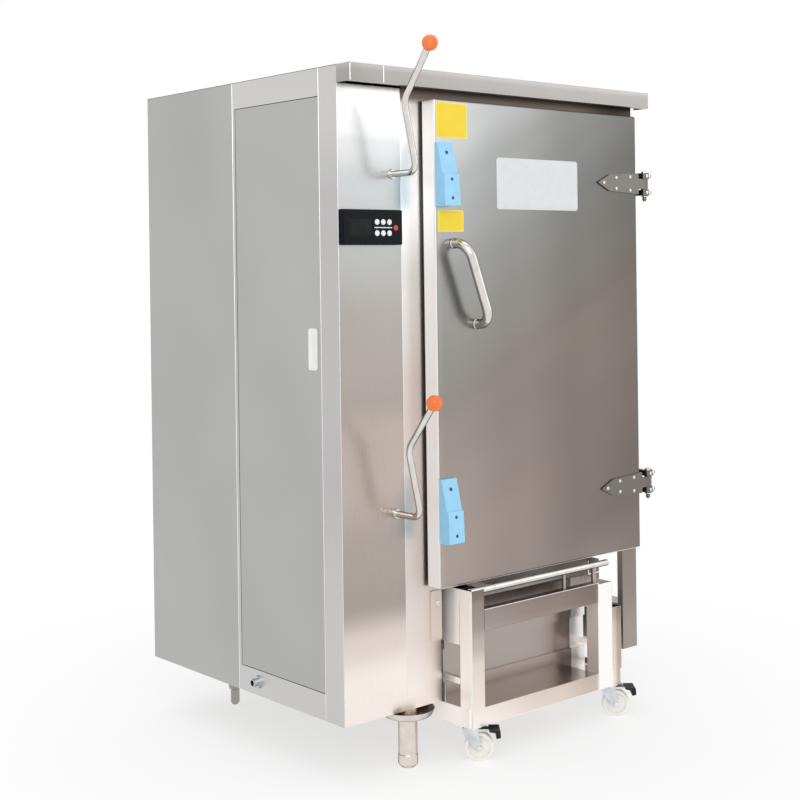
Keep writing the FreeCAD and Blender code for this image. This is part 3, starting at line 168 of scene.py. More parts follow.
def polygon_outline(corners, radius):
    """A convex counter-clockwise polygon whose corners are arcs: each centre lies on the corner's
    bisector, at the radius over the sine of the half angle."""
    points = []
    for i, corner in enumerate(corners):
        before, after, half = arms(corners[i - 1], corner, corners[(i + 1) % len(corners)])
        middle = before + after
        centre = corner + middle / np.linalg.norm(middle) * radius / math.sin(half)
        start = corner + before * radius / math.tan(half) - centre
        angle = np.linspace(0, math.pi - 2 * half, 3)
        x = start[0] * np.cos(angle) - start[1] * np.sin(angle)
        y = start[0] * np.sin(angle) + start[1] * np.cos(angle)
        points.append(np.stack([x, y], axis=1) + centre)
    return np.vstack(points)


def lifted(outline, level):
    """An outline's points at one height above its plane."""
    return np.column_stack([outline, np.full(len(outline), level)])


def stacked(rings, origin, normal, turn=0.0, closed=False):
    """Local rings carried to their place and joined, each to the next, into a surface."""
    rings = np.asarray(rings, float)
    points = placed(rings.reshape(-1, 3), origin, normal, turn)
    return skin(points.reshape(rings.shape), closed)


def slab(outline, thickness, edge, origin, normal, turn=0.0):
    """An outline raised by its thickness, its front edge rounded: the rim shrinks as it rises by a
    quarter circle, and rings of a shrinking share of the outline fill the flat face."""
    middle = outline.mean(axis=0)
    arm = outline - middle
    length = np.linalg.norm(arm, axis=1, keepdims=True)
    rings = [lifted(outline, 0)]
    for step in np.linspace(0, math.pi / 2, 5):
        shrink = 1 - edge * (1 - math.cos(step)) / length
        rings.append(lifted(middle + arm * shrink, thickness - edge + edge * math.sin(step)))
    for share in (0.66, 0.33, 0.02):
        rings.append(lifted(middle + arm * (1 - edge / length) * share, thickness))
    return stacked(rings, origin, normal, turn)


def turned(profile, origin, normal, around=48, closed=False):
    """A profile of (radius, height) points spun about the normal: the radius times the cosine and
    the sine of the angle, at the height. A closed profile returns to its start."""
    profile = np.asarray(profile, float)
    angle = np.linspace(0, 2 * math.pi, around, endpoint=False)
    radius = np.maximum(profile[:, :1], LEAST)
    height = np.repeat(profile[:, 1:2], around, axis=1)
    rings = np.stack([radius * np.cos(angle), radius * np.sin(angle), height], axis=-1)
    return stacked(rings, origin, normal, closed=closed)


def softened(profile, radii, steps=5):
    """An open profile whose corners are rounded by the quadratic curve that leaves one arm of the
    corner, is drawn to the corner and lands on the other arm."""
    profile = [np.array(point, float) for point in profile]
    points = profile[:1]
    for i in range(1, len(profile) - 1):
        if radii[i] <= 0:
            points.append(profile[i])
            continue
        corner = profile[i]
        before, after, half = arms(profile[i - 1], corner, profile[i + 1])
        reach = radii[i] / math.tan(half)
        start, stop = corner + before * reach, corner + after * reach
        for share in np.linspace(0, 1, steps):
            points.append((1 - share) ** 2 * start + 2 * share * (1 - share) * corner + share**2 * stop)
    return np.array(points + profile[-1:])


def bent_tube(corners, bends, radius, end=0.0, around=28, steps=14):
    """A round tube along straight runs joined by true arcs, all in one plane; each ring stands
    square to the path, and the rim of the far end may be rounded by a quarter circle."""
    corners = [np.array(corner, float) for corner in corners]
    path = [corners[0]]
    for i in range(1, len(corners) - 1):
        corner = corners[i]
        before, after, half = arms(corners[i - 1], corner, corners[i + 1])
        middle = (before + after) / np.linalg.norm(before + after)
        centre = corner + middle * bends[i] / math.sin(half)
        start = corner + before * bends[i] / math.tan(half) - centre
        stop = corner + after * bends[i] / math.tan(half) - centre
        sweep = math.pi - 2 * half
        shares = np.linspace(0, 1, steps)[:, None]
        arc = (np.sin((1 - shares) * sweep) * start + np.sin(shares * sweep) * stop) / math.sin(sweep)
        path.extend(list(arc + centre))
    path.append(corners[-1])
    path = np.array(path)
    step = np.diff(path, axis=0)
    step /= np.linalg.norm(step, axis=1, keepdims=True)
    tangent = np.vstack([step[:1], step[:-1] + step[1:], step[-1:]])
    tangent /= np.linalg.norm(tangent, axis=1, keepdims=True)
    if len(corners) > 2:
        flat = np.cross(corners[1] - corners[0], corners[2] - corners[1])
    else:
        flat = np.cross(tangent[0], Z_AXIS if abs(tangent[0][2]) < 0.9 else X_AXIS)
    flat /= np.linalg.norm(flat)
    side = np.cross(flat, tangent)
    width = np.ones(len(path))
    if end > 0:
        angle = np.linspace(0, math.pi / 2, 6)[1:]
        tip = path[-1] + np.outer(np.sin(angle) * end, tangent[-1])
        path = np.vstack([path, tip])
        width = np.append(width, 1 - end / radius * (1 - np.cos(angle)))
        side = np.vstack([side, np.repeat(side[-1:], len(angle), axis=0)])
    angle = np.linspace(0, 2 * math.pi, around, endpoint=False)
    offset = np.cos(angle)[None, :, None] * side[:, None] + np.sin(angle)[None, :, None] * flat
    return skin(path[:, None] + offset * radius * width[:, None, None])


def hex_nut(across_flats, height, origin, normal, turn):
    """A hexagon whose corners lie at its width over the root of three, slightly rounded, raised with
    a rounded top edge."""
    angle = np.arange(6) * math.pi / 3
    corners = np.column_stack([np.cos(angle), np.sin(angle)]) * across_flats / math.sqrt(3)
    outline = polygon_outline(corners, 0.3)
    return slab(outline, height, min(0.9, height / 3), origin, normal, turn)


def domed_head(radius, height, origin, normal):
    """A pan head: a short wall, then a quarter ellipse up to a flat driven recess."""
    angle = np.linspace(0, math.pi / 2, 8)
    dome = np.column_stack([radius * (0.35 + 0.65 * np.cos(angle)), height * (0.3 + 0.7 * np.sin(angle))])
    recess = [(radius * 0.34, height), (radius * 0.3, height * 0.55), (TIP, height * 0.5)]
    return turned([(radius, 0), *dome.tolist(), *recess], origin, normal, around=20)


# Materials


def linear(hex_colour):
    """An sRGB hex colour as linear red, green, blue and 1."""
    channels = [int(hex_colour[i : i + 2], 16) / 255 for i in (1, 3, 5)]
    return tuple(c / 12.92 if c <= 0.04045 else ((c + 0.055) / 1.055) ** 2.4 for c in channels) + (1.0,)


def set_sockets(tree, node, sockets):
    """Give a node's sockets their values; one that is another node's output is linked."""
    for name, value in sockets.items():
        if isinstance(value, bpy.types.NodeSocket):
            tree.links.new(value, node.inputs[name])
        else:
            node.inputs[name].default_value = value


def add_node(tree, kind, sockets=None, **settings):
    """Add one shader node of a kind, with its settings, values and links."""
    made = tree.nodes.new("ShaderNode" + kind)
    for name, value in settings.items():
        setattr(made, name, value)
    set_sockets(tree, made, sockets or {})
    return made


def new_material(name):
    """An empty material and its tree, its shader and its Object coordinates."""
    material = bpy.data.materials.new(name)
    material.use_nodes = True
    tree = material.node_tree
    tree.nodes.clear()
    shader = add_node(tree, "BsdfPrincipled")
    add_node(tree, "OutputMaterial", {"Surface": shader.outputs["BSDF"]})
    place = add_node(tree, "TexCoord").outputs["Object"]
    return material, tree, shader, place


def stretched(tree, place, spacing_mm, grain):
    """Object coordinates scaled so that one noise cell is the spacing across the grain and 60
    times as long along it."""
    across = 1 / (spacing_mm * MM)
    scale = [across, across, across]
    scale["XYZ".index(grain)] = across / 60
    return add_node(tree, "Mapping", {"Vector": place, "Scale": scale}).outputs["Vector"]


def tone_ramp(tree, level, stops):
    """A ramp of hex tones over a length in metres, eased between its stops."""
    low, high = stops[0][0], stops[-1][0]
    share = add_node(tree, "MapRange", {"Value": level, "From Min": low, "From Max": high})
    ramp = add_node(tree, "ValToRGB", {"Fac": share.outputs["Result"]})
    ramp.color_ramp.interpolation = "EASE"
    elements = ramp.color_ramp.elements
    for index, (place, tone) in enumerate(stops):
        position = (place - low) / (high - low)
        element = elements[index] if index < 2 else elements.new(position)
        element.position = position
        element.color = linear(tone)
    return ramp.outputs["Color"]


def brushed_stainless(name, tones, across=None, patches=(), slant=0.0, grain="Z", roughness=0.34):
    """Cold-rolled stainless sheet, belt-brushed along one axis: fine parallel lines that lighten
    and roughen the metal a little, under a slow change of tone where the film and the rolling
    differ. tones gives painted reflections and shade as the tone at heights above the floor in
    metres, across a second painted reflection at places along X that it is multiplied by, and slant
    how much lower the tone is read for each metre to the right, a painted fall of the reflected
    light. Each of patches paints a highlight or a shade over a part of the sheet: the axis, the cover
    at places along it, the tone, and the share by which the metal is made less metallic there."""
    material, tree, shader, place = new_material("BrushedStainless" + name)
    # real lines lie 0.1 mm apart; they are drawn 1.6 mm apart so that they show, under clouds of 420 mm
    fine = {"Vector": stretched(tree, place, 1.6, grain), "Scale": 1.0, "Detail": 3.0, "Roughness": 0.6}
    lines = add_node(tree, "TexNoise", fine).outputs["Fac"]
    slow = {"Vector": place, "Scale": 1 / (420 * MM), "Detail": 1.5, "Roughness": 0.45, "Distortion": 0.3}
    clouds = add_node(tree, "TexNoise", slow).outputs["Fac"]
    at = add_node(tree, "SeparateXYZ", {"Vector": place}).outputs
    # the tone is read from painted reflections and shade by height, lower to the right by the slant
    fall = {0: at["X"], 1: -slant, 2: at["Z"]}
    colour = tone_ramp(tree, add_node(tree, "Math", fall, operation="MULTIPLY_ADD").outputs[0], tones)
    # across multiplies in a painted reflection that changes along X
    if across:
        both = {0: 1.0, 6: colour, 7: tone_ramp(tree, at["X"], across)}
        colour = add_node(tree, "Mix", both, data_type="RGBA", blend_type="MULTIPLY").outputs[2]
    metallic = 1.0
    # each patch paints a highlight or a shade in its own tone and makes the metal less metallic there
    for axis, cover, tone, film in patches:
        shown = tone_ramp(tree, at[axis], cover)
        patched = {0: shown, 6: colour, 7: linear(tone)}
        colour = add_node(tree, "Mix", patched, data_type="RGBA").outputs[2]
        filmed = {0: shown, 1: -film, 2: metallic}
        metallic = add_node(tree, "Math", filmed, operation="MULTIPLY_ADD").outputs[0]
    # the clouds change the tone by a tenth and the lines by a thirtieth
    cloudy = add_node(tree, "MapRange", {"Value": clouds, "To Min": 0.9, "To Max": 1.1}).outputs[0]
    lined = add_node(tree, "MapRange", {"Value": lines, "To Min": 0.965, "To Max": 1.035}).outputs[0]
    factor = add_node(tree, "Math", {0: cloudy, 1: lined}, operation="MULTIPLY").outputs[0]
    scaled = {"Vector": colour, "Scale": factor}
    colour = add_node(tree, "VectorMath", scaled, operation="SCALE").outputs["Vector"]
    spread = {"Value": lines, "To Min": roughness - 0.03, "To Max": roughness + 0.03}
    rough = add_node(tree, "MapRange", spread).outputs["Result"]
    relief = add_node(tree, "Bump", {"Height": lines, "Strength": 0.04, "Distance": 0.0004}).outputs[0]
    sockets = {"Base Color": colour, "Metallic": metallic, "Roughness": rough, "Normal": relief}
    set_sockets(tree, shader, sockets)
    return material


def mottled(name, noise, tones, sockets, rough=None, bump=None, grit=None):
    """A material whose tone goes with a noise from the first hex tone to the second, and its
    roughness from low to high where both are given; its relief goes with that noise or with a
    finer one, and the other sockets keep the values given."""
    material, tree, shader, place = new_material(name)
    level = add_node(tree, "TexNoise", {"Vector": place, **noise}).outputs["Fac"]
    mixed = {0: level, 6: linear(tones[0]), 7: linear(tones[1])}
    sockets["Base Color"] = add_node(tree, "Mix", mixed, data_type="RGBA").outputs[2]
    if rough:
        spread = {"Value": level, "To Min": rough[0], "To Max": rough[1]}
        sockets["Roughness"] = add_node(tree, "MapRange", spread).outputs["Result"]
    if grit:
        level = add_node(tree, "TexNoise", {"Vector": place, **grit}).outputs["Fac"]
    if bump:
        sockets["Normal"] = add_node(tree, "Bump", {"Height": level, **bump}).outputs["Normal"]
    set_sockets(tree, shader, sockets)
    return material


def polished_steel(name, dark, light, roughness, film=0.0):
    """Drawn stainless rod, buffed: nearly a mirror that darkens where it is seen edge-on, with
    faint marks left by the wheel every 25 mm and a share of matt film."""
    noise = {"Scale": 1 / (25 * MM), "Detail": 1.0}
    sockets = {"Metallic": 1.0 - film, "Specular Tint": linear("#4a4541")}
    return mottled(name, noise, (dark, light), sockets, (roughness * 0.8, roughness * 1.4))


def cast_stainless(name, dark, light):
    """Investment-cast stainless, tumbled: a skin of 1.4 mm grains, brighter on its high spots."""
    noise = {"Scale": 1 / (1.4 * MM), "Detail": 4.0}
    bump = {"Strength": 0.25, "Distance": 0.0003}
    return mottled(name, noise, (dark, light), {"Metallic": 1.0, "Roughness": 0.34}, bump=bump)


def moulded_plastic(
    name, colour, darker, roughness=0.42, grit_mm=0.9, grain=0.08, scatter=0.0, gloss=0.5
):
    """Injection-moulded plastic: an even colour with a faint spark-eroded grain, and slight
    differences of tone, some 26 mm wide, where it has been handled."""
    handled = {"Scale": 1 / (26.3 * MM), "Detail": 2.0}
    grit = {"Scale": 1 / (grit_mm * MM), "Detail": 3.0}
    bump = {"Strength": grain, "Distance": 0.0002}
    sockets = {"Specular IOR Level": gloss, "Subsurface Weight": scatter}
    sockets["Subsurface Radius"] = (0.004, 0.003, 0.002)
    rough = (roughness - 0.06, roughness + 0.08)
    return mottled(name, handled, (darker, colour), sockets, rough, bump, grit)


def fibre_mat(name, light, dark):
    """Mineral wool or foam: loose fibres a few tenths of a millimetre thick, drawn 3 mm apart so
    that they show."""
    noise = {"Scale": 1 / (3.03 * MM), "Detail": 6.0, "Distortion": 2.5}
    bump = {"Strength": 0.6, "Distance": 0.002}
    return mottled(name, noise, (dark, light), {"Roughness": 0.95}, bump=bump)


def tinted_glass(name, colour):
    """A printed acrylic front: black from behind, glossy before, with smudges 18 mm wide."""
    noise = {"Scale": 1 / (18.2 * MM), "Detail": 2.0}
    return mottled(name, noise, (colour, "#0a0e14"), {"Specular IOR Level": 0.12}, (0.05, 0.22))


def mix_by_rays(tree, output, plain, bright, kinds, *levels):
    """Show a plain shader and a bright one, mixed by the largest of some kinds of ray and levels."""
    rays = add_node(tree, "LightPath").outputs
    largest, *others = [rays[kind] for kind in kinds] + list(levels)
    for other in others:
        largest = add_node(tree, "Math", {0: largest, 1: other}, operation="MAXIMUM").outputs[0]
    mixed = add_node(tree, "MixShader", {0: largest, 1: plain.outputs[0], 2: bright.outputs[0]})
    tree.links.new(mixed.outputs[0], output.inputs["Surface"])


WHITE = linear("#ffffff")
FINISHES = {}


def make_finishes(colours):
    """Every finish of the cabinet, made once from the colours in the panel; a stop is a place in
    metres and the tone there. The stops of the sheets paint the reflections, highlights and shade
    that fall on them."""
    # light and shade are a lit and a shaded tone of one steel, painted light and painted shade; the side
    # sheets take the painted shade
    light, shade = colours.steel_light, colours.steel_shade
    side = [(0.2, shade), (1.8, shade)]
    # painted reflections by height on the left frame, lighter at its foot and its top
    frame_side_reflections = [(0.17, light), (0.5, "#c8c6c3"), (0.8, "#bdbcba"), (1.5, "#bdbcba"), (1.8, light)]
    # painted reflections by height on the column cover: near white at its foot and top, darker between
    column = [(0.26, "#f8eee7"), (0.36, "#dfd3cb"), (0.46, "#aaa099"), (0.6, "#b0a59e"), (0.76, "#beb1a9")]
    column += [(0.9, "#bcaea5"), (1.0, "#aaa29b"), (1.2, "#a59f9a"), (1.38, "#acaeac"), (1.56, "#bcc0c0")]
    column += [(1.66, "#d2d5d5"), (1.7, "#e4e6e6"), (1.76, "#f8f9f9"), (1.82, "#fbfbfa")]
    # painted reflections by height on the door frame strip, with a painted shadow under the hood from 1.79
    # to 1.81 m
    frame_strip_light_and_shadow = [(0.2, "#f8f0ea"), (0.36, "#e6dcd6"), (0.55, "#dcd2cc"), (1.0, "#d6cbc4"), (1.3, "#dcd8d4")]
    frame_strip_light_and_shadow += [(1.52, "#ffffff"), (1.7, "#f4f1ee"), (1.77, "#e2dedb"), (1.79, "#6a5f58"), (1.81, "#6a5f58")]
    # a painted reflection across the strip: white on the left, darker to the right
    frame_strip_reflection_fall = [(-0.28, "#ffffff"), (0.3, "#ffffff"), (0.5, "#a39f9c")]
    # painted reflections by height on the door
    door = [(0.26, "#c4b8b3"), (0.45, "#b1a59f"), (0.66, "#b2a59e"), (0.8, "#ab9f99"), (1.0, "#a0968f")]
    door += [(1.1, "#96908a"), (1.25, "#92908b"), (1.4, "#939491"), (1.55, "#a0a2a1"), (1.66, "#a7aaa9")]
    door += [(1.8, "#bfc2c2"), (1.9, "#c4c7c7")]
    # a painted reflection across the door: white at its left edge, darker to the right
    door_reflection_fall = [(-0.29, "#ffffff"), (-0.26, "#f4f4f4"), (0.0, "#dedcdb"), (0.27, "#c0bebc")]
    door_reflection_fall += [(0.57, "#adaaa8")]
    # a painted highlight in near white along the door's left edge, made less metallic there
    door_left_edge_highlight = ("X", [(-0.2922, "#ffffff"), (-0.2895, "#000000")], "#faf7f5", 0.7)
    # a painted reflection on the hood, darker towards its lower edge
    hood = [(1.8, "#a6a29e"), (1.84, "#a9a5a2"), (1.86, "#bcbab8")]
    # painted reflections and shade by height on the trolley: near white low down, darkening up to the shade
    # under the door
    trolley = [(0.1, "#fbf2ea"), (0.19, "#ece0d7"), (0.26, "#e3d8ce"), (0.32, "#c2b7b0")]
    trolley += [(0.38, "#a39892"), (0.42, "#9c918b"), (0.46, "#84786f")]
    # a painted reflection across the trolley, white on its left faces and at the right post
    trolley_reflection_fall = [(-0.2, "#ffffff"), (0.1, "#e3ddd9"), (0.28, "#cac4c0"), (0.3, "#ffffff")]
    trolley_reflection_fall += [(0.36, "#f4efea"), (0.38, "#c4beb8")]
    # painted shade over the recess behind the trolley's front edge
    behind_front_edge_shade = [(-0.445, "#000000"), (-0.442, "#ffffff")]
    # a painted highlight on the right post's front face
    right_post_highlight = [(0.292, "#000000"), (0.295, "#ffffff"), (0.3535, "#ffffff"), (0.3555, "#000000")]
    # a painted highlight on the trolley's left faces
    left_side_highlight = [(-0.215, "#ffffff"), (-0.2125, "#000000")]
    trolley_painted_light = [("Y", behind_front_edge_shade, "#aaa09a", 0.0), ("X", right_post_highlight, "#fdf8f4", 0.3)]
    trolley_painted_light += [("X", left_side_highlight, "#fff8f2", 0.7)]
    lid = [(1.7, "#8d8d8b"), (1.9, "#8d8d8b")]
    FINISHES.update({
        "side": brushed_stainless("Side", side, roughness=0.42),
        "lid": brushed_stainless("Lid", lid, roughness=0.46),
        "side_frame": brushed_stainless("Frame", frame_side_reflections, roughness=0.4),
        "column": brushed_stainless("Column", column, roughness=0.28),
        # the door's slant is a painted fall of its reflection, darker to the right
        "door": brushed_stainless("Door", door, door_reflection_fall, [door_left_edge_highlight], slant=0.5, roughness=0.24),
        "hood": brushed_stainless("Hood", hood, grain="X", roughness=0.36),
        "frame": brushed_stainless("DoorFrame", frame_strip_light_and_shadow, frame_strip_reflection_fall),
        "inner": brushed_stainless("Inside", [(0.1, "#9a948f"), (1.8, "#b9b4af")]),
        "trolley": brushed_stainless(
            "Trolley", trolley, trolley_reflection_fall, trolley_painted_light, grain="X", roughness=0.24
        ),
        "rack": brushed_stainless("Rack", [(0.3, "#aaa9a7"), (1.8, "#bdbcba")]),
        "rod": polished_steel("PolishedStainlessRod", "#cfc9c4", "#e9e5e2", roughness=0.1),
        "leg": polished_steel("TurnedStainlessLeg", "#cfc4bc", "#ebe2db", roughness=0.2, film=0.15),
        # near-white beads along the folds and seams: painted highlight lines
        "fold_highlight": polished_steel("PaintedFoldHighlight", "#e8e8e8", "#fbfbfb", roughness=0.3),
        "screw": polished_steel("ScrewSteel", "#cfcfcf", "#f5f5f5", roughness=0.2),
        "hinge": cast_stainless("CastStainlessHinge", "#5f5b54", "#8d8981"),
        "zinc": polished_steel("ZincPlate", "#b9bcc0", "#e7e9ec", roughness=0.25),
        "race": polished_steel("YellowZincPlate", "#c99a3c", "#ecc766", roughness=0.3),
        "brass": polished_steel("BrassFlange", "#b08a45", "#dcbf7c", roughness=0.3),
        "blue": moulded_plastic("CastNylonBlue", colours.wedge, colours.wedge_shade, scatter=0.05),
        "bolt": moulded_plastic("BlueBoltCap", "#24408f", "#1a2f70", roughness=0.3),
        "ball": moulded_plastic(
            "PhenolicBall", colours.ball, colours.ball_shade, roughness=0.22, grit_mm=3.0
        ),
        "white": moulded_plastic("AcetalWhite", "#f2f2f0", "#e2e2df", roughness=0.35),
        "wheel": moulded_plastic("NylonWheel", "#fbfaf6", "#eae8e0", roughness=0.38, scatter=0.1),
        "pedal": moulded_plastic("GlassFilledNylonPedal", "#232426", "#161719", roughness=0.5, gloss=0.25),
        "housing": moulded_plastic("ABSHousing", "#0b121b", "#070b11", roughness=0.5, gloss=0.1),
        "button": moulded_plastic("ButtonCapWhite", "#f4f4f4", "#dfe1e2", roughness=0.4, grain=0.02),
        "red": moulded_plastic("ButtonCapRed", "#d9452f", "#b5321f", roughness=0.3, grain=0.02),
        "glass": tinted_glass("PrintedAcrylic", "#03060b"),
        "display": tinted_glass("DisplayFilter", "#1b2620"),
        "seal": moulded_plastic("SiliconeSeal", "#d8d5ce", "#c3bfb6", roughness=0.55),
        "wool": fibre_mat("MineralWool", "#e0d6a8", "#b9ab74"),
        "foam": fibre_mat("RigidFoam", "#efe2b4", "#d9c88f"),
        "plate": moulded_plastic("AnodisedPlatePale", "#dfe0e2", "#d3d4d7", roughness=0.35, grain=0.03),
        "yellow": moulded_plastic("EnamelYellow", "#f6d92e", "#ecca1c", roughness=0.45, grain=0.02),
        "yellow_rim": moulded_plastic("EnamelYellowRim", "#f9e879", "#f1dc5c", roughness=0.45),
    })


# Settings


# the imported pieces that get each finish
NODE_FINISH = {
    "side": ("left_rear_panel", "access_panel", "right_panel", "rear_panel"),
    "side_frame": ("left_frame",),
    "lid": ("top_panel",),
    "hood": ("hood",),
    "column": ("column_cover",),
    "frame": ("door_frame",),
    "inner": ("right_sill", "column_wall", "steam_tank", "chamber_liner", "bay_ceiling", "door_liner"),
    "rack": ("tray_rack", "tray"),
    "wool": ("insulation",),
    "brass": ("heater",),
    "rod": ("lever_bushes",),
    "housing": ("control_housing",),
    "glass": ("control_glass",),
    "door": ("door_skin",),
    "foam": ("door_core",),
    "seal": ("door_gasket",),
    "blue": ("wedge_upper", "wedge_lower"),
    "hinge": ("hinge_base_upper", "hinge_base_lower", "hinge_strap_upper", "hinge_strap_lower"),
    "trolley": ("trolley_frame",),
    "zinc": ("drain_fitting", "caster_fork_left", "caster_fork_right", "brake_arm_left", "brake_arm_right"),
    "pedal": ("brake_pedal_left", "brake_pedal_right"),
}
# start, end and radius of each bead of painted highlight along a fold or seam, by piece and body
FOLD_HIGHLIGHTS = {
    ("column_folds", "cabinet"): (
        ((213.8, 0.4, 1), (213.8, 0.4, 1651), 1.1),
        ((1.0, 0.6, 1), (1.0, 0.6, 1651), 1.0),
        ((0.2, 472.4, 1), (0.2, 472.4, 1697), 1.4),
        ((0.2, 76.6, 1), (0.2, 76.6, 1697), 1.2),
        ((0.5, -56.3, 1654), (0.5, -56.3, 1697), 1.3),
        ((111, -57, 1654), (111, -57, 1697), 1.3),
    ),
    ("door_folds", "door"): (
        ((287.2, -54.8, 320), (287.2, -54.8, 1623), 1.3),
        ((289, -54.8, 320.2), (1106, -54.8, 320.2), 1.3),
    ),
    ("trolley_folds", "trolley"): (
        ((363.4, -93.6, -58), (363.4, -93.6, 305), 1.2),
        ((371, -94.6, -59.4), (966, -94.6, -59.4), 1.0),
        ((411, -94.6, 251.4), (872, -94.6, 251.4), 1.0),
        ((930.6, -93.6, -10), (930.6, -93.6, 245), 1.2),
    ),
}


class SteamCabinetSizes(bpy.types.PropertyGroup):
    """Sizes that a user of the cabinet would change."""

    rod_radius: bpy.props.FloatProperty(
        name="Lever rod radius", description="Half the thickness of a lever", default=0.0085, unit="LENGTH"
    )
    ball_radius: bpy.props.FloatProperty(
        name="Ball radius", description="Half the width of a lever's ball", default=0.0205, unit="LENGTH"
    )
    handle_radius: bpy.props.FloatProperty(
        name="Handle radius", description="Half the thickness of the handle", default=0.013, unit="LENGTH"
    )
    wheel_radius: bpy.props.FloatProperty(
        name="Wheel radius", description="Half the width of a trolley wheel", default=0.04, unit="LENGTH"
    )


class SteamCabinetColours(bpy.types.PropertyGroup):
    """Colours that a user of the cabinet would change, as sRGB hex values."""

    # the shaded and the lit tone of one steel: painted shade and painted light
    steel_shade: bpy.props.StringProperty(
        name="Steel, shaded", description="Dark tone of the side sheets", default="#b3b3b1"
    )
    steel_light: bpy.props.StringProperty(
        name="Steel, lit", description="Light tone of the side sheets", default="#cbcac8"
    )
    wedge: bpy.props.StringProperty(name="Wedge", description="Colour of the blocks", default="#a4daf6")
    wedge_shade: bpy.props.StringProperty(
        name="Wedge, worn", description="Worn tone of the blocks", default="#8ecaee"
    )
    ball: bpy.props.StringProperty(name="Ball", description="Colour of the balls", default="#f6823a")
    ball_shade: bpy.props.StringProperty(
        name="Ball, worn", description="Worn tone of the balls", default="#ea6826"
    )


# Operators


class STEAM_OT_finishes(bpy.types.Operator):
    """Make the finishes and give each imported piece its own"""

    bl_idname = "steam_cabinet.finishes"
    bl_label = "Finishes"

    def execute(self, context):
        make_finishes(context.scene.steam_colours)
        for finish, names in NODE_FINISH.items():
            for name in names:
                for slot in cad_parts[name].material_slots:
                    slot.material = FINISHES[finish]
        return {"FINISHED"}


class STEAM_OT_levers(bpy.types.Operator):
    """Make both cam levers: the bent rod with its collar and the ball on its end"""

    bl_idname = "steam_cabinet.levers"
    bl_label = "Cam levers"

    def execute(self, context):
        """The rod runs out of the cover along y, up the leaning arm and on to the ball, which is a
        circle spun about that last run, cut off 27 degrees from its pole round the neck."""
        sizes = context.scene.steam_sizes
        rod, ball = sizes.rod_radius / MM, sizes.ball_radius / MM
        # along y: the end inside the cover, the collar, the plane of the arm and the ball
        inner_end, collar_start, standoff, ball_out = 26.0, 23.0, -98.0, -231.0
        # along the arm: its outer bend and the ball, which hides the last 10 mm of the rod
        arm, ball_rise, hidden = 187.0, 319.0, 10.0
        pivot_x, collar_radius, collar_width = 184.0, 12.8, 6.0
        lean = np.array([-math.sin(LEVER_TILT), 0, math.cos(LEVER_TILT)])
        collar = [(rod, 0), (collar_radius, 0), (collar_radius, collar_width), (rod, collar_width)]
        angle = np.linspace(math.radians(27), math.pi, 26)
        sphere = np.column_stack([ball * np.sin(angle), -ball * np.cos(angle)])
        neck = [(rod + 0.1, -ball * 0.86), (rod + 1.2, -ball * 0.93)]
        for side, level in LEVERS.items():
            body = f"{side}_lever"

            def at(y, r):
                return np.array([pivot_x, y, level]) + lean * r

            bend, centre = at(standoff, arm), at(ball_out, ball_rise)
            path = [at(inner_end, 0), at(standoff, 0), bend, at(ball_out + hidden, ball_rise - hidden)]
            shaft = bent_tube(path, [0, 30, 55, 0], rod)
            surfaces = [shaft, turned(collar, at(collar_start, 0), Y_AXIS)]
            name = f"lever_rod_{side}"
            piece(f"{name}_polished", surfaces, "rod", body, [name])
            knob = turned([*neck, *sphere.tolist()], centre, centre - bend, around=44)
            piece(f"lever_ball_{side}", [knob], "ball", body, [f"lever_knob_{side}"])
        return {"FINISHED"}


class STEAM_OT_pull_handle(bpy.types.Operator):
    """Make the door's bent pull handle with a weld collar at each foot"""

    bl_idname = "steam_cabinet.pull_handle"
    bl_label = "Pull handle"

    def execute(self, context):
        """A tube out of the door, along its lean and back in, with two bends of one radius."""
        radius = context.scene.steam_sizes.handle_radius / MM
        half_length, standoff, bend = 117.0, 56.0, 45.0
        middle = np.array([391.0, DOOR_SEAT, 1130.5])
        lean = np.array([-math.sin(HANDLE_TILT), 0, math.cos(HANDLE_TILT)])
        low, high = middle - lean * half_length, middle + lean * half_length
        out = np.array([0, -standoff, 0])
        path = [low, low + out, high + out, high]
        grip = bent_tube(path, [0, bend, bend, 0], radius, around=32, steps=18)
        weld = softened([(radius - 0.3, 0), (radius + 2.6, 0), (radius - 0.2, 4.2)], [0, 1.4, 0])
        surfaces = [grip] + [turned(weld, foot, FRONT) for foot in (low, high)]
        piece("door_handle_polished", surfaces, "rod", "door", ["door_handle"])
        return {"FINISHED"}


class STEAM_OT_wedge_bolts(bpy.types.Operator):
    """Put three socket bolts in each cam wedge, square to its slopes"""

    bl_idname = "steam_cabinet.wedge_bolts"
    bl_label = "Wedge bolts"

    def execute(self, context):
        """Each bolt's axis leans up by its slope's fall over its length; the heads are spun."""
        across, sunk = 313.0, 0.6
        upper_slope, lower_slope = 19.0 / 81.0, 4.0 / 85.0
        # height from the lever's axis, how far the wedge stands out there, and its slope
        bolts = ((58.0, 17.3, upper_slope), (-14.0, 36.7, lower_slope), (-64.0, 39.0, lower_slope))
        washer = softened([(3.1, 0), (4.9, 0), (4.5, 0.8), (3.2, 0.8)], [0, 0, 0.3, 0])
        for side, level in LEVERS.items():
            heads = []
            for height, rise, slope in bolts:
                normal = (0, -1, slope)
                origin = (across, DOOR_SEAT - rise + sunk, level + height)
                heads.append(domed_head(3.4, 1.7, origin, normal))
                heads.append(turned(washer, origin, normal, around=28))
            piece(f"wedge_bolts_{side}", heads, "bolt", "door")
        return {"FINISHED"}


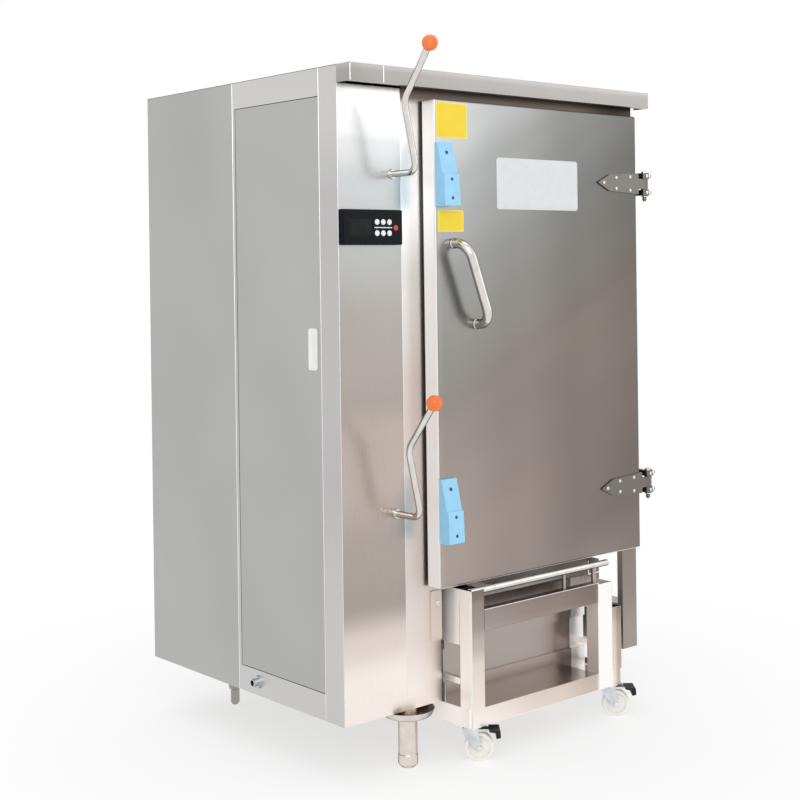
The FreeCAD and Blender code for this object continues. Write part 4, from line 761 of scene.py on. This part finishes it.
class STEAM_OT_control_panel(bpy.types.Operator):
    """Make the display window, the printed line and the domed button caps"""

    bl_idname = "steam_cabinet.control_panel"
    bl_label = "Control panel"

    glass_face = -17.0

    def execute(self, context):
        """Two rows of three caps, the pitch times the column apart, and the red cap beside them."""
        first_x, pitch = 115.8, 21.0
        window = slab(rounded_outline(79, 44, 3), 0.35, 0.15, (57.2, self.glass_face, 1281.8), FRONT)
        piece("display_window", [window], "display", "cabinet")
        line = slab(rounded_outline(60, 2.4, 1.1), 0.3, 0.1, (137.0, self.glass_face, 1282.2), FRONT)
        piece("button_line", [line], "button", "cabinet")
        for row_name, level in (("low", 1267.7), ("high", 1296.7)):
            for column in range(3):
                name = f"button_{row_name}_{column + 1}"
                self.cap(name, first_x + pitch * column, level, "button", "white_button")
        self.cap("button_red", 179.6, 1282.0, "red", "red_button")
        return {"FINISHED"}

    def cap(self, name, x, z, finish, slot):
        """A spun cap: a flange behind the glass, a wall, a rounded rim, then a shallow cone."""
        flange, wall, back, front = 9.0, 7.45, -9.6, -7.6
        top = softened([(wall, front), (wall, 1.6), (5.4, 1.55), (TIP, 1.0)], [0, 0.9, 1.2, 0], steps=6)
        profile = [(TIP, back), (flange, back), (flange, front), *top.tolist()]
        surface = turned(profile, (x, self.glass_face, z), FRONT, around=36)
        piece(f"{name}_cap", [surface], finish, name, [name])


class STEAM_OT_plates(bpy.types.Operator):
    """Fix the bare plates on the door: one pale and two yellow with a lighter rim"""

    bl_idname = "steam_cabinet.plates"
    bl_label = "Bare plates"

    def execute(self, context):
        """Slabs of rounded rectangles; each yellow face is its rim's outline less 7 mm."""
        rim_width = 3.5
        pale = slab(rounded_outline(330, 143, 9), 1.2, 0.5, (679, DOOR_FACE, 1406.5), FRONT)
        piece("plate_pale", [pale], "plate", "door")
        yellow = {"high": (347.8, 1570.5, 112.5, 95.0), "low": (340.0, 1300.5, 94.0, 58.5)}
        for name, (x, z, width, height) in yellow.items():
            middle = (x, DOOR_FACE, z)
            rim = slab(rounded_outline(width, height, 3), 0.5, 0.2, middle, FRONT)
            piece(f"plate_yellow_{name}_rim", [rim], "yellow_rim", "door")
            inner = rounded_outline(width - 2 * rim_width, height - 2 * rim_width, 2)
            face = slab(inner, 0.9, 0.2, middle, FRONT)
            piece(f"plate_yellow_{name}", [face], "yellow", "door")
        return {"FINISHED"}


class STEAM_OT_flush_pull(bpy.types.Operator):
    """Make the white flush pull of the service panel: a rounded plate with a dished scoop"""

    bl_idname = "steam_cabinet.flush_pull"
    bl_label = "Flush pull"

    def execute(self, context):
        """Rings of rounded rectangles, carried from the back over the rim and down into the scoop."""
        middle_y, middle_z = 110.0, 966.0
        screw_lift, screw_seat = 46.0, -3.6
        # width, height, corner radius and level of each ring
        steps = [(36, 110, 7, 0), (36, 110, 7, 2.6), (35.4, 109.4, 6.7, 3.3), (34, 108, 6, 3.9)]
        steps += [(22, 74, 8, 3.9), (20.6, 72.6, 7.4, 3.5), (18.6, 68, 7, 1.9)]
        steps += [(13, 60, 5, 1.4), (2, 20, 0.9, 1.3)]
        rings = []
        for width, height, radius, level in steps:
            rings.append(lifted(rounded_outline(width, height, radius, per_corner=8), level))
        surfaces = [stacked(rings, (0.0, middle_y, middle_z), LEFT)]
        for lift in (-screw_lift, screw_lift):
            surfaces.append(domed_head(3.0, 0.8, (screw_seat, middle_y, middle_z + lift), LEFT))
        piece("flush_pull_moulding", surfaces, "white", "access_door", ["flush_pull"])
        return {"FINISHED"}


class STEAM_OT_hinge_trim(bpy.types.Operator):
    """Add the hinges' screws and the nuts, caps and rings of each base"""

    bl_idname = "steam_cabinet.hinge_trim"
    bl_label = "Hinge trim"

    def execute(self, context):
        """Screw heads on the strap, nuts beside the hinge's axis, and a spun cap and ring on it."""
        strap_face = DOOR_FACE - 5.1
        spots = ((957.0, 0.0), (1012.0, 16.0), (1012.0, -16.0), (1076.0, 20.0), (1076.0, -20.0))
        arm_lift, nut_reach, head_reach, cap_lift, ring_lift = 25.0, 11.0, -10.9, 34.1, -38.2
        cap = softened([(5, 0), (8.6, 0), (8.6, 5.0), (TIP, 6.9)], [0, 0, 1.8, 0])
        ring = softened([(5.2, 0), (8.8, 0), (9.6, 1.6), (8.8, 3.2), (5.2, 3.2)], [0, 0.8, 1.2, 0.8, 0])
        for side, level in HINGES.items():
            screws = [domed_head(5.2, 2.6, (x, strap_face, level + lift), FRONT) for x, lift in spots]
            piece(f"hinge_screws_{side}", screws, "screw", "door")
            axis = np.array([1150.0, -55.0, level])
            nuts = []
            for lift in (-arm_lift, arm_lift):
                nuts.append(hex_nut(19, 7.5, axis + (nut_reach, 0, lift), X_AXIS, 0.3))
                nuts.append(domed_head(5.6, 2.6, axis + (0, head_reach, lift), FRONT))
            nuts.append(turned(cap, axis + (0, 0, cap_lift), Z_AXIS))
            nuts.append(turned(ring, axis + (0, 0, ring_lift), Z_AXIS))
            piece(f"hinge_nuts_{side}", nuts, "screw", "cabinet")
        return {"FINISHED"}


class STEAM_OT_legs(bpy.types.Operator):
    """Make the four turned legs, the front left one in its dished flange"""

    bl_idname = "steam_cabinet.legs"
    bl_label = "Legs"

    def execute(self, context):
        """Each leg is one profile of radius and height, rounded at its corners and spun."""
        floor, seat = -160, -0.2
        foot = [(TIP, floor), (18, floor), (27, -151), (27, -126), (25.5, -124), (25.5, -24)]
        dish = [(64, -22), (73.8, -2.4), (72, -2.4), (63, -20), (26, -20), (26, seat), (TIP, seat)]
        dished = softened(foot + dish, [0, 1.5, 5, 0.6, 0.6, 3, 10, 0.4, 0.4, 8, 2, 0, 0])
        stud = [(TIP, floor), (9, floor), (13.5, -152), (13.5, -114), (19, -110)]
        collar = [(19, -6), (40, -4), (40, seat), (TIP, seat)]
        plain = softened(stud + collar, [0, 1.5, 4, 1, 1.5, 2, 0.8, 0, 0])
        spots = {
            "leg_front_left": (dished, (237, 27, 0), "leg"),
            "leg_front_right": (plain, (1122, 90, 0), "inner"),
            "leg_rear_left": (plain, (205, 800, 0), "inner"),
            "leg_rear_right": (plain, (1122, 840, 0), "inner"),
        }
        for name, (profile, origin, finish) in spots.items():
            leg = turned(profile, origin, Z_AXIS, around=56)
            piece(f"{name}_turned", [leg], finish, "cabinet", [name])
        return {"FINISHED"}


class STEAM_OT_wheels(bpy.types.Operator):
    """Make the nylon wheels with their hubs, and the swivel races over the front ones"""

    bl_idname = "steam_cabinet.wheels"
    bl_label = "Wheels"

    def execute(self, context):
        """Half a wheel's profile from hub to tread, mirrored, rounded and spun round each axle. A
        front axle trails its swivel by the cosine and the sine of the caster's turn."""
        radius = context.scene.steam_sizes.wheel_radius / MM
        rim = radius - 8.5
        trail, axle_height, swivel_y, rear_axle_y, nut_reach = 24, -120, -58, 500, 16.1
        half = [(4.06, 13), (11, 13), (11.8, 12), (11.8, 5), (rim - 5.5, 4.6), (rim - 2.5, 6)]
        half += [(rim - 1.5, 11.6), (rim, 12), (radius - 3.2, 12), (radius, 8.6)]
        rounding = [0, 0.5, 0.5, 1.5, 2, 1.5, 0.4, 0.4, 1.5, 2]
        profile = [(reach, -depth) for reach, depth in half] + half[::-1]
        profile = softened(profile, rounding + rounding[::-1], steps=4)
        race = [(17, -67.4), (20.6, -67.4), (21.4, -66.4), (20.6, -65.4), (17, -65.4)]
        race = softened(race, [0, 0.4, 0.6, 0.4, 0])
        cosine, sine = math.cos(CASTER_TURN), math.sin(CASTER_TURN)
        for side, across in CASTERS.items():
            front = np.array((across + trail * cosine, swivel_y + trail * sine, axle_height))
            rear = (across, rear_axle_y, axle_height)
            for place, axle, along in (("front", front, (-sine, cosine, 0)), ("rear", rear, X_AXIS)):
                wheel = turned(profile, axle, along, around=64, closed=True)
                name, body = f"wheel_{place}_{side}", f"{place}_wheel_{side}"
                piece(f"{name}_nylon", [wheel], "wheel", body, [name])
            ring = turned(race, (across, swivel_y, 0), Z_AXIS)
            piece(f"caster_race_{side}", [ring], "race", f"caster_{side}")
            nuts = []
            for end in (-1, 1):
                normal = np.array((-sine * end, cosine * end, 0))
                nuts.append(hex_nut(11, 3.6, front + normal * nut_reach, normal, 0.4))
            piece(f"axle_nuts_{side}", nuts, "screw", f"caster_{side}")
        return {"FINISHED"}


class STEAM_OT_body_trim(bpy.types.Operator):
    """Lay near-white beads of painted highlight along the folds and seams of the body, door and trolley"""

    bl_idname = "steam_cabinet.body_trim"
    bl_label = "Folds and seams"

    def execute(self, context):
        """Each painted highlight line is a thin tube along its fold or seam, its far end rounded by six
        tenths of its radius.
        """
        for (name, body), edges in FOLD_HIGHLIGHTS.items():
            beads = []
            for start, stop, radius in edges:
                beads.append(bent_tube([start, stop], [0, 0], radius, end=radius * 0.6, around=10))
            piece(name, beads, "fold_highlight", body)
        bar = bent_tube([(369.6, -80, 302), (925.4, -80, 302)], [0, 0], 9.3, end=2, around=32)
        piece("trolley_bar_polished", [bar], "rod", "trolley")
        head = softened([(TIP, 0), (8.5, 0), (8.2, 1.6), (TIP, 2.4)], [0, 0, 0.6, 0])
        bolt = turned(head, (326, -4, 268), FRONT, around=32)
        piece("bracket_bolt", [bolt], "screw", "cabinet")
        return {"FINISHED"}


class STEAM_OT_stage(bpy.types.Operator):
    """Set the floor, the soft lamps, the pale world and the camera"""

    bl_idname = "steam_cabinet.stage"
    bl_label = "Stage"

    def execute(self, context):
        scene = context.scene
        self.floor(scene)
        self.world(scene)
        self.lamps(scene)
        self.camera(scene)
        scene.view_settings.view_transform = "Standard"
        return {"FINISHED"}

    def floor(self, scene):
        """A square sheet just under the wheels. Its paint glows by two thirds of its white and fades
        into the white backdrop from 0.6 to 1.9 m out, so that no horizon shows; reflections and
        light that passes glass see only the glow."""
        half_side, drop = 14.0, 0.0005
        x, y = np.meshgrid(*[np.linspace(-half_side, half_side, 3)] * 2)
        points = np.stack([x, y, np.full_like(x, -drop)], axis=-1).reshape(-1, 3)
        mesh = bpy.data.meshes.new("floor")
        mesh.from_pydata(points.tolist(), [], cells(np.arange(9).reshape(3, 3)))
        material, tree, shader, place = new_material("PaintedFloorPale")
        set_sockets(tree, shader, {"Base Color": WHITE, "Roughness": 0.9})
        reach = add_node(tree, "VectorMath", {0: place}, operation="LENGTH").outputs["Value"]
        fading = {"Value": reach, "From Min": 0.6, "From Max": 1.9, "To Min": 0.65}
        fade = add_node(tree, "MapRange", fading).outputs["Result"]
        glow = add_node(tree, "Emission", {"Color": WHITE, "Strength": 1.0})
        output = next(n for n in tree.nodes if n.type == "OUTPUT_MATERIAL")
        mix_by_rays(tree, output, shader, glow, ("Is Glossy Ray", "Is Transmission Ray"), fade)
        mesh.materials.append(material)
        floor = bpy.data.objects.new("floor", mesh)
        scene.collection.objects.link(floor)

    def world(self, scene):
        """A white room that lights with three quarters of its white, and shows all of it to the
        camera, in reflections and through glass: the mix follows the largest of the three."""
        world = bpy.data.worlds.new("PaleRoom")
        scene.world = world
        world.use_nodes = True
        tree = world.node_tree
        tree.nodes.clear()
        room = add_node(tree, "Background", {"Color": WHITE, "Strength": 0.75})
        backdrop = add_node(tree, "Background", {"Color": WHITE, "Strength": 1.0})
        kinds = ("Is Camera Ray", "Is Glossy Ray", "Is Transmission Ray")
        mix_by_rays(tree, add_node(tree, "OutputWorld"), room, backdrop, kinds)

    def lamps(self, scene):
        """Square lamps, each turned so that it looks from its place at the middle of the door."""
        middle = Vector((0, 0, 0.9))
        for name, spot, size, power in (
            ("KeySoftbox", (-3.2, -3.6, 3.4), 3.4, 50.0),
            ("FillSoftbox", (3.4, -3.2, 2.2), 3.0, 14.0),
            ("TopSoftbox", (0.0, 0.6, 4.6), 4.0, 30.0),
            ("SparkLamp", (-2.0, -4.6, 3.6), 0.35, 12.0),
        ):
            lamp = bpy.data.lights.new(name, "AREA")
            lamp.shape = "SQUARE"
            lamp.size = size
            lamp.energy = power
            thing = bpy.data.objects.new(name, lamp)
            turn = (middle - Vector(spot)).to_track_quat("-Z", "Y").to_matrix().to_4x4()
            thing.matrix_world = Matrix.Translation(spot) @ turn
            scene.collection.objects.link(thing)

    def camera(self, scene):
        """The camera stands where the photograph was taken: its view direction is turned by the yaw
        and lowered by the pitch, and its right and up are rolled about it."""
        yaw, pitch, roll = math.radians(40.795), math.radians(0.2), math.radians(-0.746)
        frame_px, focal_px, horizon_px = 800.0, 1421.2, 270.9
        flat = np.array([math.sin(yaw), math.cos(yaw), 0])
        right = np.array([math.cos(yaw), -math.sin(yaw), 0])
        ahead = flat * math.cos(pitch) - np.array(Z_AXIS) * math.sin(pitch)
        up = np.array(Z_AXIS) * math.cos(pitch) + flat * math.sin(pitch)
        across = right * math.cos(roll) + up * math.sin(roll)
        upright = up * math.cos(roll) - right * math.sin(roll)
        data = bpy.data.cameras.new("Camera")
        data.sensor_width = 36.0
        data.lens = focal_px / frame_px * data.sensor_width
        data.shift_y = (horizon_px - frame_px / 2) / frame_px
        data.clip_end = 60.0
        camera = bpy.data.objects.new("Camera", data)
        turn = Matrix([across.tolist(), upright.tolist(), (-ahead).tolist()]).transposed()
        spot = row((-2255.0, -2853.1, 1181.5))
        camera.matrix_world = Matrix.Translation(spot.tolist()) @ turn.to_4x4()
        scene.collection.objects.link(camera)
        scene.camera = camera


class STEAM_PT_panel(bpy.types.Panel):
    """Lists the cabinet's settings and operators"""

    bl_idname = "STEAM_PT_panel"
    bl_label = "Steam Cabinet"
    bl_space_type = "VIEW_3D"
    bl_region_type = "UI"
    bl_category = "Steam Cabinet"

    def draw(self, context):
        for group in (context.scene.steam_sizes, context.scene.steam_colours):
            for name in group.__annotations__:
                self.layout.prop(group, name)
        for operator in OPERATORS:
            self.layout.operator(operator.bl_idname)


OPERATORS = (
    STEAM_OT_stage,
    STEAM_OT_finishes,
    STEAM_OT_levers,
    STEAM_OT_pull_handle,
    STEAM_OT_wedge_bolts,
    STEAM_OT_control_panel,
    STEAM_OT_plates,
    STEAM_OT_flush_pull,
    STEAM_OT_hinge_trim,
    STEAM_OT_legs,
    STEAM_OT_wheels,
    STEAM_OT_body_trim,
)
CLASSES = (SteamCabinetSizes, SteamCabinetColours, *OPERATORS, STEAM_PT_panel)


def register():
    """Register every class and give the scene its sizes and colours."""
    for cls in CLASSES:
        bpy.utils.register_class(cls)
    bpy.types.Scene.steam_sizes = bpy.props.PointerProperty(type=SteamCabinetSizes)
    bpy.types.Scene.steam_colours = bpy.props.PointerProperty(type=SteamCabinetColours)


def unregister():
    """Take back what register gave, last class first."""
    del bpy.types.Scene.steam_colours
    del bpy.types.Scene.steam_sizes
    for cls in reversed(CLASSES):
        bpy.utils.unregister_class(cls)


def main():
    """Register the add-on and make every piece in order."""
    register()
    for operator in OPERATORS:
        group, name = operator.bl_idname.split(".")
        getattr(getattr(bpy.ops, group), name)()


if __name__ == "__main__":
    main()
